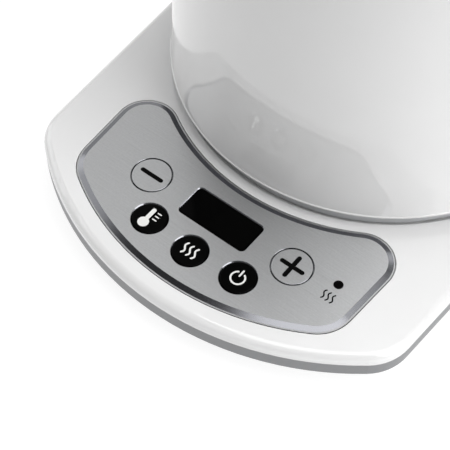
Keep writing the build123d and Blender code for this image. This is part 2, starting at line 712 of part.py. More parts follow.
# Rim collar: closes the gap between shell and vessel, and is the lid's seat.
COLLAR_R = shell_radius(BODY_TOP_Z)
with BuildPart() as rim_collar:
    with BuildSketch(Plane.XZ):
        with BuildLine():
            Polyline(
                (COLLAR_R - SHELL_WALL - 0.1, BODY_TOP_Z - 3.0),
                (COLLAR_R - SHELL_WALL - 0.1, BODY_TOP_Z),
                (COLLAR_R, BODY_TOP_Z),
                (shell_radius(COLLAR_TOP_Z), COLLAR_TOP_Z),
                (RIM_BORE_R, COLLAR_TOP_Z),
                (RIM_BORE_R, SHELF_Z),
                (SHELF_BORE_R, SHELF_Z),
                (SHELF_BORE_R, BODY_TOP_Z + 2.2),
                (COLLAR_R - SHELL_WALL - 1.7, BODY_TOP_Z + 2.2),
                (COLLAR_R - SHELL_WALL - 1.7, BODY_TOP_Z - 3.0),
                close=True,
            )
        make_face()
    revolve(axis=Axis.Z)
    fillet(rim_collar.edges().group_by(Axis.Z)[-1].sort_by(SortBy.LENGTH)[-1], 2.6)
    # hinge block: fills the rim behind the lid's straight edge
    with BuildSketch(Plane.XY.offset(BODY_TOP_Z + 2.2)):
        Circle(RIM_BORE_R + 1.0)
        with Locations((LID_CHORD_X + 0.6 - 100.0, 0)):
            Rectangle(200.0, 140.0, mode=Mode.SUBTRACT)
    extrude(amount=COLLAR_TOP_Z - BODY_TOP_Z - 2.2)
    # room for the lid's knuckle
    with Locations((LID_CHORD_X, 0, HINGE_Z - 3.6)):
        Box(9.4, 44.0, 12.0, align=(Align.MIN, Align.CENTER, Align.MIN), mode=Mode.SUBTRACT)
    with BuildSketch(Plane.XZ):
        with Locations((HINGE_X, HINGE_Z)):
            Circle(HINGE_PIN_R)
    extrude(amount=26.0, both=True, mode=Mode.SUBTRACT)
    # the rim is cut away where the water leaves
    with Locations((-COLLAR_R, 0, BODY_TOP_Z - 4.0)):
        Box(9.0, 2 * SPOUT_HALF, 4.0, align=(Align.CENTER, Align.CENTER, Align.MIN), mode=Mode.SUBTRACT)
save(rim_collar, "rim_collar")

with BuildPart() as vessel_seal:
    with BuildSketch(Plane.XY.offset(RIM_Z + VESSEL_WALL)):
        Circle(vessel_radius(RIM_Z) + VESSEL_FLANGE)
        Circle(vessel_radius(RIM_Z) - 0.6, mode=Mode.SUBTRACT)
    extrude(amount=BODY_TOP_Z + 2.2 - RIM_Z - VESSEL_WALL)
save(vessel_seal, "vessel_seal")

with BuildPart() as lid_hinge_pin:
    with BuildSketch(Plane.XZ):
        with Locations((HINGE_X, HINGE_Z)):
            Circle(HINGE_PIN_R)
    extrude(amount=25.5, both=True)
save(lid_hinge_pin, "lid_hinge_pin")

# Spout: a pointed trough outside the shell, deeper towards its tip.
SPOUT_TOP_Z = COLLAR_TOP_Z - 0.4
SPOUT_LOW_Z = 160.0


def spout_plan(inset):
    """Plan of the beak: a rounded triangle whose tip points away from the body."""
    with BuildSketch() as plan:
        with BuildLine():
            Polyline(
                (SPOUT_TIP_X, 0),
                (-58.0, 22.0),
                (-50.0, 22.0),
                (-50.0, -22.0),
                (-58.0, -22.0),
                close=True,
            )
        make_face()
        fillet(plan.vertices().group_by(Axis.X)[0], 6.0)
        if inset:
            offset(amount=-inset)
    return plan.sketch


def spout_side(drop):
    """Side view of the space under the slanting underside, to cut away from a beak."""
    with BuildSketch() as side:
        with BuildLine():
            Polyline(
                (-50.0, SPOUT_LOW_Z - 30.0),
                (-120.0, SPOUT_LOW_Z - 30.0),
                (-120.0, SPOUT_TOP_Z + 10.0 + drop),
                (SPOUT_TIP_X - 4.0, SPOUT_TOP_Z - 2.0 + drop),
                (-66.0, SPOUT_LOW_Z + drop),
                (-50.0, SPOUT_LOW_Z - 14.0 + drop),
                close=True,
            )
        make_face()
    return side.sketch


with BuildPart() as spout_core:
    with BuildSketch(Plane.XY.offset(SPOUT_LOW_Z - 10.0)):
        add(spout_plan(2.0))
    extrude(amount=SPOUT_TOP_Z - SPOUT_LOW_Z + 20.0)
    with BuildSketch(Plane.XZ):
        add(spout_side(3.0))
    extrude(amount=60.0, both=True, mode=Mode.SUBTRACT)

with BuildPart() as spout:
    with BuildSketch(Plane.XY.offset(SPOUT_LOW_Z - 10.0)):
        add(spout_plan(0))
    extrude(amount=SPOUT_TOP_Z - SPOUT_LOW_Z + 10.0)
    with BuildSketch(Plane.XZ):
        add(spout_side(0))
    extrude(amount=60.0, both=True, mode=Mode.SUBTRACT)
    add(spout_core.part, mode=Mode.SUBTRACT)
    # the body's tapering side
    with BuildSketch(Plane.XZ):
        with BuildLine():
            Polyline(
                (0, 100.0),
                (shell_radius(100.0), 100.0),
                (shell_radius(220.0), 220.0),
                (0, 220.0),
                close=True,
            )
        make_face()
    revolve(axis=Axis.Z, mode=Mode.SUBTRACT)
save(spout, "spout")

# Sieve that fills the vessel's spout opening from inside.
FILTER_X = -vessel_radius(SPOUT_HOLE_Z[0]) + 4.6
with BuildPart() as spout_filter:
    with BuildSketch(Plane.YZ.offset(FILTER_X)):
        with Locations((0, sum(SPOUT_HOLE_Z) / 2)):
            RectangleRounded(2 * SPOUT_HALF + 4.0, SPOUT_HOLE_Z[1] - SPOUT_HOLE_Z[0] + 3.0, 2.0)
            with GridLocations(3.0, 3.0, 9, 6):
                Rectangle(2.2, 2.2, mode=Mode.SUBTRACT)
    extrude(amount=1.2)
save(spout_filter, "spout_filter")

# Handle: a closed loop on the +X side, cut to the body's taper.
HANDLE_TOP_Z = 199.0
HANDLE_LOW_Z = 52.0
HANDLE_THICK = 21.0


BODY_CONE = [
    (0, 0.0),
    (shell_radius(0.0), 0.0),
    (shell_radius(240.0), 240.0),
    (0, 240.0),
]
HANDLE_BEND_Z = HANDLE_TOP_Z - 70.0
HANDLE_INNER_X = HANDLE_REACH_X - HANDLE_THICK
GRIP_DEPTH = 2.5
GRIP_PROUD = 0.6
GRIP_LOW_Z = 95.0
GRIP_HIGH_Z = 165.0


def loop_face(points, radii, grow=0.0):
    """Side view of the space inside one of the handle's two rounded loops."""
    with BuildSketch() as side:
        with BuildLine():
            loop = FilletPolyline(*points, radius=radii)
            Line(loop @ 1, loop @ 0)
        make_face()
        if grow:
            offset(amount=grow)
    return side.sketch


OUTER_LOOP = [
    (50.0, HANDLE_TOP_Z),
    (HANDLE_REACH_X - 4.0, HANDLE_TOP_Z),
    (HANDLE_REACH_X, HANDLE_BEND_Z),
    (HANDLE_REACH_X - 14.0, HANDLE_LOW_Z),
    (50.0, HANDLE_LOW_Z + 10.0),
]
INNER_LOOP = [
    (52.0, HANDLE_TOP_Z - HANDLE_THICK),
    (HANDLE_INNER_X - 3.0, HANDLE_TOP_Z - HANDLE_THICK),
    (HANDLE_INNER_X, HANDLE_BEND_Z),
    (HANDLE_INNER_X - 11.0, HANDLE_LOW_Z + 17.0),
    (52.0, HANDLE_LOW_Z + 25.0),
]
OUTER_RADII = [24.0, 300.0, 24.0]
INNER_RADII = [12.0, 200.0, 12.0]

# Soft grey strip let into the inner face of the handle's upright.
with BuildPart() as handle_grip:
    with BuildSketch(Plane.XZ):
        add(loop_face(INNER_LOOP, INNER_RADII, GRIP_DEPTH))
        add(loop_face(INNER_LOOP, INNER_RADII, -GRIP_PROUD), mode=Mode.SUBTRACT)
        with Locations((HANDLE_INNER_X - 12.0, GRIP_LOW_Z)):
            Rectangle(40.0, GRIP_HIGH_Z - GRIP_LOW_Z, align=Align.MIN, mode=Mode.INTERSECT)
    extrude(amount=7.0, both=True)
    fillet(handle_grip.edges().filter_by(Axis.Y), 0.3)
save(handle_grip, "handle_grip")

with BuildPart() as handle_body:
    with BuildSketch(Plane.XZ):
        add(loop_face(OUTER_LOOP, OUTER_RADII))
        add(loop_face(INNER_LOOP, INNER_RADII), mode=Mode.SUBTRACT)
    extrude(amount=HANDLE_WIDTH / 2, both=True)
    rims = handle_body.faces().filter_by(Axis.Y).edges()
    fillet(rims.filter_by(lambda edge: edge.center().X > 54.0), HANDLE_ROUND)
    with BuildSketch(Plane.XZ):
        with BuildLine():
            Polyline(*BODY_CONE, close=True)
        make_face()
    revolve(axis=Axis.Z, mode=Mode.SUBTRACT)
    with BuildSketch(Plane.YZ):
        with Locations(*[(0, z) for z in HANDLE_SCREW_Z]):
            Circle(1.5)
    extrude(amount=84.0, mode=Mode.SUBTRACT)
    add(handle_grip.part, mode=Mode.SUBTRACT)
save(handle_body, "handle_body")

with BuildPart() as handle_screws:
    for z in HANDLE_SCREW_Z:
        wall_x = shell_radius(z) - SHELL_WALL
        with BuildSketch(Plane.YZ.offset(wall_x - 0.5)):
            with Locations((0, z)):
                Circle(1.5)
        extrude(amount=12.0)
        with BuildSketch(Plane.YZ.offset(wall_x - 1.9)):
            with Locations((0, z)):
                Circle(3.0)
        extrude(amount=1.6)
save(handle_screws, "handle_screws")

# ================================================================ lid
LINER_R = 53.5
LINER_CHORD_X = 44.0
LINER_LOW_Z = SHELF_Z - 5.0
LINER_WALL = 1.0
DOME_RISE = 3.6
LID_EDGE_Z = COLLAR_TOP_Z + 1.2
LID_LOW_Z = SHELF_Z + CLEAR
LID_WALL = 2.2
KNUCKLE_R = 3.0
KNUCKLE_HALF = 21.4
LID_SCREW_POINTS = [(-24.0, 30.0), (-24.0, -30.0), (34.0, 28.0), (34.0, -28.0)]
NOSE_LOW_Z = 202.0
NOSE_HIGH_Z = 203.6
NOSE_WIDTH = 8.0


def dome_z(r):
    """Height of the lid's top surface at a distance from the axis."""
    return LID_EDGE_Z + DOME_RISE * (1 - (r / LID_R) ** 2)


def dome_profile(radius, drop, low_z, edge_round=0.0):
    """Half section of a domed disc, its crown lowered by drop, down to low_z."""
    with BuildSketch() as half:
        with BuildLine():
            crown = ThreePointArc(
                (0, dome_z(0) - drop),
                (radius / 2, dome_z(radius / 2) - drop),
                (radius, dome_z(radius) - drop),
            )
            Polyline(crown @ 1, (radius, low_z), (0, low_z), crown @ 0)
        make_face()
        if edge_round:
            rim = half.vertices().group_by(Axis.X)[-1].sort_by(Axis.Y)[-1]
            fillet(rim, edge_round)
    return half.sketch


with BuildPart() as lid_hollow:
    with BuildSketch(Plane.XZ):
        add(dome_profile(LID_R - 2.4, LID_WALL, LID_LOW_Z - 2.0))
    revolve(axis=Axis.Z)
    with Locations((LID_CHORD_X - 2.4, 0, LID_LOW_Z - 5.0)):
        Box(40.0, 140.0, 30.0, align=(Align.MIN, Align.CENTER, Align.MIN), mode=Mode.SUBTRACT)

# Domed lid cover with a straight edge at the hinge.
with BuildPart() as lid_cover:
    with BuildSketch(Plane.XZ):
        add(dome_profile(LID_R, 0, LID_LOW_Z, edge_round=1.0))
    revolve(axis=Axis.Z)
    with Locations((LID_CHORD_X, 0, LID_LOW_Z - 5.0)):
        Box(40.0, 140.0, 30.0, align=(Align.MIN, Align.CENTER, Align.MIN), mode=Mode.SUBTRACT)
    add(lid_hollow.part, mode=Mode.SUBTRACT)
    # knuckle and the web that carries it
    with BuildSketch(Plane.XZ):
        with Locations((HINGE_X, HINGE_Z)):
            Circle(KNUCKLE_R)
        with BuildLine():
            Polyline(
                (LID_CHORD_X - 1.0, HINGE_Z - 1.2),
                (HINGE_X, HINGE_Z - 1.2),
                (HINGE_X, HINGE_Z + 2.6),
                (LID_CHORD_X - 1.0, HINGE_Z + 2.6),
                close=True,
            )
        make_face()
    extrude(amount=KNUCKLE_HALF, both=True)
    with BuildSketch(Plane.XZ):
        with Locations((HINGE_X, HINGE_Z)):
            Circle(HINGE_PIN_R + PIN_CLEARANCE)
    extrude(amount=30.0, both=True, mode=Mode.SUBTRACT)
    # pillars for the liner's screws
    for x, y in LID_SCREW_POINTS:
        with BuildSketch(Plane.XY.offset(LINER_LOW_Z + LINER_WALL)):
            with Locations((x, y)):
                Circle(2.6)
        extrude(amount=dome_z(hypot(x, y)) - 1.0 - LINER_LOW_Z - LINER_WALL)
        with BuildSketch(Plane.XY.offset(LINER_LOW_Z + LINER_WALL)):
            with Locations((x, y)):
                Circle(1.2)
        extrude(amount=7.0, mode=Mode.SUBTRACT)
    # button hole and latch slot
    with BuildSketch(Plane.XY.offset(SHELF_Z - 2.0)):
        with Locations((BUTTON_X, 0)):
            Circle(BUTTON_R + CLEAR)
    extrude(amount=20.0, mode=Mode.SUBTRACT)
    with Locations((-LID_R - 2.0, 0, LID_LOW_Z - 1.0)):
        Box(
            7.0,
            NOSE_WIDTH + 2 * CLEAR,
            NOSE_HIGH_Z + CLEAR - LID_LOW_Z + 1.0,
            align=(Align.MIN, Align.CENTER, Align.MIN),
            mode=Mode.SUBTRACT,
        )
save(lid_cover, "lid_cover")


def liner_plan(radius, chord_x):
    """Circle with its hinge side cut off straight."""
    with BuildSketch() as plan:
        Circle(radius)
        with Locations((chord_x, 0)):
            Rectangle(80.0, 140.0, align=(Align.MIN, Align.CENTER), mode=Mode.SUBTRACT)
    return plan.sketch


# Steel tray that closes the lid from below.
with BuildPart() as lid_liner:
    with BuildSketch(Plane.XY.offset(LINER_LOW_Z)):
        add(liner_plan(LINER_R, LINER_CHORD_X))
    extrude(amount=LID_LOW_Z - LINER_LOW_Z)
    fillet(lid_liner.edges().group_by(Axis.Z)[0], 0.8)
    with BuildSketch(Plane.XY.offset(LINER_LOW_Z + LINER_WALL)):
        add(liner_plan(LINER_R - LINER_WALL, LINER_CHORD_X - LINER_WALL))
    extrude(amount=10.0, mode=Mode.SUBTRACT)
    with BuildSketch(Plane.XY.offset(LINER_LOW_Z - 1.0)):
        with Locations(*LID_SCREW_POINTS):
            Circle(1.4)
    extrude(amount=4.0, mode=Mode.SUBTRACT)
save(lid_liner, "lid_liner")

with BuildPart() as lid_screws:
    with BuildSketch(Plane.XY.offset(LINER_LOW_Z - 1.4)):
        with Locations(*LID_SCREW_POINTS):
            Circle(2.4)
    extrude(amount=1.4)
    with BuildSketch(Plane.XY.offset(LINER_LOW_Z)):
        with Locations(*LID_SCREW_POINTS):
            Circle(1.2)
    extrude(amount=6.5)
save(lid_screws, "lid_screws")

# Silicone ring round the liner, just inside the collar's bore.
with BuildPart() as lid_seal:
    with BuildSketch(Plane.XY.offset(SHELF_Z - 3.2)):
        add(liner_plan(SHELF_BORE_R - CLEAR, LINER_CHORD_X + 1.8))
    extrude(amount=3.2 + CLEAR)
    chamfer(lid_seal.edges().group_by(Axis.Z)[0], 0.5)
    with BuildSketch(Plane.XY.offset(SHELF_Z - 6.0)):
        add(liner_plan(LINER_R, LINER_CHORD_X))
    extrude(amount=20.0, mode=Mode.SUBTRACT)
save(lid_seal, "lid_seal")

# Release button: a round cap with a flange under the cover and a short stem.
BUTTON_TOP_Z = 208.6
BUTTON_FLANGE_Z = 203.8
BUTTON_STEM_Z = 200.6
with BuildPart() as lid_button:
    with BuildSketch(Plane.XY.offset(BUTTON_FLANGE_Z)):
        with Locations((BUTTON_X, 0)):
            Circle(BUTTON_R)
    extrude(amount=BUTTON_TOP_Z - BUTTON_FLANGE_Z)
    fillet(lid_button.edges().group_by(Axis.Z)[-1], 0.8)
    with BuildSketch(Plane.XY.offset(BUTTON_FLANGE_Z)):
        with Locations((BUTTON_X, 0)):
            Circle(BUTTON_R + 1.4)
    extrude(amount=1.0)
    with BuildSketch(Plane.XY.offset(BUTTON_STEM_Z)):
        with Locations((BUTTON_X, 0)):
            Circle(3.0)
    extrude(amount=BUTTON_FLANGE_Z - BUTTON_STEM_Z)
save(lid_button, "lid_button")

# Coil spring between the liner and the button's flange.
SPRING_R = 5.0
SPRING_WIRE_R = 0.4
SPRING_LOW_Z = LINER_LOW_Z + LINER_WALL + SPRING_WIRE_R + 0.05
SPRING_HEIGHT = BUTTON_FLANGE_Z - SPRING_WIRE_R - 0.05 - SPRING_LOW_Z
SPRING_TURNS = 4
with BuildPart() as button_spring:
    with BuildLine():
        coil = Helix(
            SPRING_HEIGHT / SPRING_TURNS, SPRING_HEIGHT, SPRING_R, center=(BUTTON_X, 0, SPRING_LOW_Z)
        )
    with BuildSketch(Plane(origin=coil @ 0, z_dir=coil % 0)):
        Circle(SPRING_WIRE_R)
    sweep(is_frenet=True)
save(button_spring, "button_spring")

# Latch bar: a flat bar inside the lid with a raised nose at the spout side.
BAR_LOW_Z = 198.6
BAR_THICK = 1.6
BAR_END_X = 17.0
NOSE_TIP_X = -RIM_BORE_R + CLEAR
RISER_X = -46.0
with BuildPart() as lid_latch:
    with BuildSketch(Plane.XZ):
        with BuildLine():
            Polyline(
                (BAR_END_X, BAR_LOW_Z),
                (RISER_X - 3.0, BAR_LOW_Z),
                (RISER_X - 3.0, NOSE_LOW_Z),
                (NOSE_TIP_X, NOSE_LOW_Z),
                (NOSE_TIP_X, NOSE_HIGH_Z),
                (RISER_X, NOSE_HIGH_Z),
                (RISER_X, BAR_LOW_Z + BAR_THICK),
                (BAR_END_X - BAR_THICK, BAR_LOW_Z + BAR_THICK),
                close=True,
            )
        make_face()
    extrude(amount=NOSE_WIDTH / 2, both=True)
save(lid_latch, "lid_latch")
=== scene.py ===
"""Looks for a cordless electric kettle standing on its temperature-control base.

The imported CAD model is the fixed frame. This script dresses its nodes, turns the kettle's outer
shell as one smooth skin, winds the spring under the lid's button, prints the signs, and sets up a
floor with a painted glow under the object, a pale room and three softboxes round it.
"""

from __future__ import annotations

import json
import logging
from dataclasses import dataclass, field
from enum import Enum
from math import cos, pi, radians, sin

import bmesh
import bpy
import numpy as np
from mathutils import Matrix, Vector

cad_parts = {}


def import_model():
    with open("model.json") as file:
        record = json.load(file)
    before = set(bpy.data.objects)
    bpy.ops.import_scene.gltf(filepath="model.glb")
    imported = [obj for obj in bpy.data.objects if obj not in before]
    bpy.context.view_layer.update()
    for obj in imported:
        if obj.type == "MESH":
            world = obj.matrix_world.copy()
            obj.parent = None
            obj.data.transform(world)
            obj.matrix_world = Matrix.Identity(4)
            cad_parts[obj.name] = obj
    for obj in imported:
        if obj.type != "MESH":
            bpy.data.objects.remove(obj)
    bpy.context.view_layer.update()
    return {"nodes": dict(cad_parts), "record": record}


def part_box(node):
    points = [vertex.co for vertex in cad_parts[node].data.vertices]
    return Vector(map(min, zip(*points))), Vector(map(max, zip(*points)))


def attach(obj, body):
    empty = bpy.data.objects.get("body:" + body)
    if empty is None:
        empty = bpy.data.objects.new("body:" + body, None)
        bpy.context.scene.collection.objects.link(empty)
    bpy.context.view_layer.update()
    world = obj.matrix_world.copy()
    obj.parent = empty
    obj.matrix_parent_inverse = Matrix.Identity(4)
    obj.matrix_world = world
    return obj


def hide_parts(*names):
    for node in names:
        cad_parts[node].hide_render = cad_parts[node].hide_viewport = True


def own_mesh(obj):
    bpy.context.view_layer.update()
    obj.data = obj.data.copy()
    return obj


LOG = logging.getLogger("kettle")
MM = 0.001
NOISE_SPAN = (0.25, 0.75)  # a noise pattern hardly leaves this range
TINT_SPAN = (0.3, 0.7)  # where on a pattern a colour begins and ends its drift
MIX_SOCKETS = {"FLOAT": (2, 3, 0), "RGBA": (6, 7, 2)}  # a Mix node's two inputs and its output, by data type
OUT_SILL, OUT_HEAD, IN_HEAD, IN_SILL = 1, 2, 5, 6  # corners of the shell's section at its opening
Tree = bpy.types.ShaderNodeTree
Socket = bpy.types.NodeSocket


# ------------------------------------------------------------------ colours and nodes
def linear(hex_colour: str) -> tuple[float, float, float, float]:
    """Turn an sRGB hex colour into linear light.

    Args:
        hex_colour: six hex digits, red first.

    Returns:
        Red, green, blue and an alpha of 1.
    """
    srgb = np.array([int(hex_colour[i : i + 2], 16) for i in (0, 2, 4)]) / 255.0
    light = np.where(srgb <= 0.04045, srgb / 12.92, ((srgb + 0.055) / 1.055) ** 2.4)
    return (*light.tolist(), 1.0)


def add_node(
    tree: Tree, kind: str, settings: dict | None = None, links: dict | None = None
) -> bpy.types.Node:
    """Add a shader node with its settings and links.

    Args:
        tree: the material's node tree.
        kind: the node's type name.
        settings: values by input name or number, or by property name.
        links: output sockets by input name or number.

    Returns:
        The new node.
    """
    node = tree.nodes.new(kind)
    for key, value in (settings or {}).items():
        if isinstance(key, int) or key in node.inputs:
            node.inputs[key].default_value = value
        else:
            setattr(node, key, value)
    for key, socket in (links or {}).items():
        tree.links.new(socket, node.inputs[key])
    return node


def mix(
    tree: Tree, kind: str, factor: Socket | float, first: Socket | tuple | float, second: Socket
) -> Socket:
    """Blend two values or two colours.

    Args:
        tree: the material's node tree.
        kind: FLOAT for values, RGBA for colours.
        factor: 0 for the first, 1 for the second.
        first: the first value or colour.
        second: the second value or colour.

    Returns:
        The blend.
    """
    low, high, result = MIX_SOCKETS[kind]
    node = add_node(tree, "ShaderNodeMix", {"data_type": kind})
    for number, value in ((0, factor), (low, first), (high, second)):
        if isinstance(value, Socket):
            tree.links.new(value, node.inputs[number])
        else:
            node.inputs[number].default_value = value
    return node.outputs[result]


# ------------------------------------------------------------------ finishes
@dataclass(frozen=True)
class Finish:
    """A real material and the way its surface was made.

    Attributes:
        name: what a maker would call it.
        colour: sRGB hex of the clean surface.
        roughness: middle of its roughness.
    """

    name: str
    colour: str
    roughness: float

    def material(self) -> bpy.types.Material:
        """Return this finish as a material, built once."""
        made = bpy.data.materials.get(self.name)
        if made is not None:
            return made
        made = bpy.data.materials.new(self.name)
        made.use_nodes = True
        made.diffuse_color = linear(self.colour)
        tree = made.node_tree
        tree.nodes.clear()
        shader = add_node(tree, "ShaderNodeBsdfPrincipled")
        add_node(tree, "ShaderNodeOutputMaterial", links={"Surface": shader.outputs["BSDF"]})
        place = add_node(tree, "ShaderNodeTexCoord")
        self.wire(tree, shader, place)
        return made

    def wire(self, tree: Tree, shader: bpy.types.Node, place: bpy.types.Node) -> None:
        """Connect the pattern of this finish.

        Args:
            tree: the material's node tree.
            shader: its Principled shader.
            place: its Texture Coordinate node.
        """
        raise NotImplementedError

    def vary(self, tree: Tree, fac: Socket, low: float, high: float) -> Socket:
        """Spread a 0 to 1 pattern over a range.

        Args:
            tree: the material's node tree.
            fac: the pattern.
            low: value where the pattern is 0.
            high: value where the pattern is 1.

        Returns:
            The spread value.
        """
        span = {"From Min": NOISE_SPAN[0], "From Max": NOISE_SPAN[1], "To Min": low, "To Max": high}
        return add_node(tree, "ShaderNodeMapRange", span, {"Value": fac}).outputs["Result"]

    def tint(self, tree: Tree, fac: Socket, depth: float) -> Socket:
        """Let the colour drift a little darker over a pattern.

        Args:
            tree: the material's node tree.
            fac: the pattern.
            depth: share of the light lost where the pattern is 1.

        Returns:
            The colour.
        """
        base = linear(self.colour)
        dark = tuple(c * (1.0 - depth) for c in base[:3]) + (1.0,)
        ramp = add_node(tree, "ShaderNodeValToRGB", links={"Fac": fac})
        for stop, position, colour in zip(ramp.color_ramp.elements, TINT_SPAN, (base, dark)):
            stop.position, stop.color = position, colour
        return ramp.outputs["Color"]


def noise(tree: Tree, vector: Socket, grain_mm: float, detail: float = 2.0) -> Socket:
    """Noise whose lumps are about grain_mm across.

    Args:
        tree: the material's node tree.
        vector: where the pattern is read.
        grain_mm: size of one lump.
        detail: octaves of finer noise.

    Returns:
        The pattern, 0 to 1.
    """
    settings = {"Scale": 1.0 / (grain_mm * MM), "Detail": detail, "Roughness": 0.5}
    return add_node(tree, "ShaderNodeTexNoise", settings, {"Vector": vector}).outputs["Fac"]


@dataclass(frozen=True)
class MouldedPlastic(Finish):
    """Injection-moulded plastic: a slight orange peel under an even skin.

    Attributes:
        peel_mm: width of one dimple of the orange peel.
        peel_depth_mm: its depth.
        ior: refractive index of the polymer.
        spread: how far the roughness drifts either way.
        drift: share of light lost in the darker patches.
        coat: weight of a clear gloss layer.
        gloss: specular level, 0.5 for a bare surface and less where it is to stay black under the lamps.
        coat_roughness: roughness of the gloss layer.
        cloud_mm: size of the darker patches.
        patch_mm: size of the patches where the roughness drifts.
    """

    peel_mm: float = 1.4
    peel_depth_mm: float = 0.002
    ior: float = 1.53
    spread: float = 0.03
    drift: float = 0.02
    coat: float = 0.0
    gloss: float = 0.5
    coat_roughness: float = 0.03
    cloud_mm: float = 28.0
    patch_mm: float = 9.0

    def wire(self, tree: Tree, shader: bpy.types.Node, place: bpy.types.Node) -> None:
        """Connect colour drift, roughness drift and orange peel."""
        where = place.outputs["Object"]
        cloud = noise(tree, where, self.cloud_mm)
        patch = noise(tree, where, self.patch_mm)
        depth = {"Strength": 1.0, "Distance": self.peel_depth_mm * MM}
        bump = add_node(tree, "ShaderNodeBump", depth, {"Height": noise(tree, where, self.peel_mm)})
        rough = self.vary(tree, patch, self.roughness - self.spread, self.roughness + self.spread)
        shader.inputs["IOR"].default_value = self.ior
        shader.inputs["Specular IOR Level"].default_value = self.gloss
        shader.inputs["Coat Weight"].default_value = self.coat
        shader.inputs["Coat Roughness"].default_value = self.coat_roughness
        tree.links.new(self.tint(tree, cloud, self.drift), shader.inputs["Base Color"])
        tree.links.new(rough, shader.inputs["Roughness"])
        tree.links.new(bump.outputs["Normal"], shader.inputs["Normal"])


@dataclass(frozen=True)
class BrushedMetal(Finish):
    """Metal brushed one way: fine scratches far longer than they are wide.

    Attributes:
        scratch_mm: width of a scratch; real ones are finer, and these are drawn wide enough to show.
        length_mm: length of a scratch.
        depth_mm: depth of a scratch.
        bevel_roughness: roughness where the face is cut at an angle and polished.
        bevel_colour: sRGB hex painted on that cut; a grey darker than the face is painted shade along the
            bevel.
        around: True where the brushing runs round the vertical axis, as on a turned vessel.
        speck_mm: size of the specks between the scratches.
        speck_share: share of the specks in the pattern.
        spread: how far the roughness drifts either way.
        drift: share of light lost in the scratches.
        upright: upward share of the surface's direction where a bevel ends and where a flat face begins.
    """

    scratch_mm: float = 0.28
    length_mm: float = 16.0
    depth_mm: float = 0.007
    bevel_roughness: float = 0.18
    # painted shade: by default the bevel is painted a darker grey than the face
    bevel_colour: str = "85868A"
    around: bool = False
    speck_mm: float = 0.7
    speck_share: float = 0.35
    spread: float = 0.06
    drift: float = 0.16
    upright: tuple[float, float] = (0.975, 0.99)

    def wire(self, tree: Tree, shader: bpy.types.Node, place: bpy.types.Node) -> None:
        """Connect the scratches, smooth the bevel out of them by the surface's own direction, and give the
        bevel its own colour by the same direction, which is painted shade where that colour is darker.
        """
        where = place.outputs["Object"]
        squeeze = self.scratch_mm / self.length_mm
        stretch = (squeeze, squeeze, 1.0) if self.around else (squeeze, 1.0, 1.0)
        along = add_node(tree, "ShaderNodeMapping", {"Scale": stretch}, {"Vector": where})
        scratch = noise(tree, along.outputs["Vector"], self.scratch_mm, 3.0)
        speck = noise(tree, where, self.speck_mm, 1.0)
        pattern = mix(tree, "FLOAT", self.speck_share, scratch, speck)
        up = add_node(tree, "ShaderNodeSeparateXYZ", links={"Vector": place.outputs["Normal"]})
        span = {"From Min": self.upright[0], "From Max": self.upright[1], "To Min": 0.0, "To Max": 1.0}
        face = add_node(tree, "ShaderNodeMapRange", span, {"Value": up.outputs["Z"]}).outputs["Result"]
        brushed = self.vary(tree, pattern, self.roughness - self.spread, self.roughness + self.spread)
        rough = mix(tree, "FLOAT", face, self.bevel_roughness, brushed)
        tinted = self.tint(tree, pattern, self.drift)
        # painted shade: faces tilted away from upright take the bevel colour, a darker grey on the panel
        paint = mix(tree, "RGBA", face, linear(self.bevel_colour), tinted)
        depth = {"Distance": self.depth_mm * MM}
        bump = add_node(tree, "ShaderNodeBump", depth, {"Height": pattern, "Strength": face})
        shader.inputs["Metallic"].default_value = 1.0
        tree.links.new(paint, shader.inputs["Base Color"])
        tree.links.new(rough, shader.inputs["Roughness"])
        tree.links.new(bump.outputs["Normal"], shader.inputs["Normal"])


@dataclass(frozen=True)
class PlainMetal(Finish):
    """Turned, stamped or plated metal with faint tool marks.

    Attributes:
        mark_mm: size of the tool marks.
        depth_mm: their depth.
        drift: share of light lost in them.
        spread: how far the roughness drifts down and up.
    """

    mark_mm: float = 0.6
    depth_mm: float = 0.004
    drift: float = 0.12
    spread: tuple[float, float] = (0.05, 0.08)

    def wire(self, tree: Tree, shader: bpy.types.Node, place: bpy.types.Node) -> None:
        """Connect the tool marks."""
        where = place.outputs["Object"]
        marks = noise(tree, where, self.mark_mm, 3.0)
        bump = add_node(tree, "ShaderNodeBump", {"Distance": self.depth_mm * MM}, {"Height": marks})
        rough = self.vary(tree, marks, self.roughness - self.spread[0], self.roughness + self.spread[1])
        shader.inputs["Metallic"].default_value = 1.0
        tree.links.new(self.tint(tree, marks, self.drift), shader.inputs["Base Color"])
        tree.links.new(rough, shader.inputs["Roughness"])
        tree.links.new(bump.outputs["Normal"], shader.inputs["Normal"])


@dataclass(frozen=True)
class CircuitBoard(Finish):
    """Glass-epoxy board under green mask, with copper tracks showing lighter.

    Attributes:
        track_mm: size of one cell of the track pattern.
        ior: refractive index of the mask.
        drift: share of light lost between the tracks.
        sheen: lowest and highest roughness.
    """

    track_mm: float = 3.0
    ior: float = 1.5
    drift: float = 0.5
    sheen: tuple[float, float] = (0.3, 0.45)

    def wire(self, tree: Tree, shader: bpy.types.Node, place: bpy.types.Node) -> None:
        """Connect a square cell pattern as tracks."""
        where = place.outputs["Object"]
        settings = {"distance": "MANHATTAN", "feature": "F1", "Scale": 1.0 / (self.track_mm * MM)}
        cells = add_node(tree, "ShaderNodeTexVoronoi", settings, {"Vector": where}).outputs["Distance"]
        shader.inputs["IOR"].default_value = self.ior
        tree.links.new(self.tint(tree, cells, self.drift), shader.inputs["Base Color"])
        tree.links.new(self.vary(tree, cells, *self.sheen), shader.inputs["Roughness"])


# White base and kettle shells: acrylonitrile styrene, moulded in a polished tool, so it mirrors softly.
WHITE_ABS = MouldedPlastic(
    "white_gloss_abs", "E6E6E6", 0.05, peel_mm=7.0, peel_depth_mm=0.0012, spread=0.01, coat=0.6
)
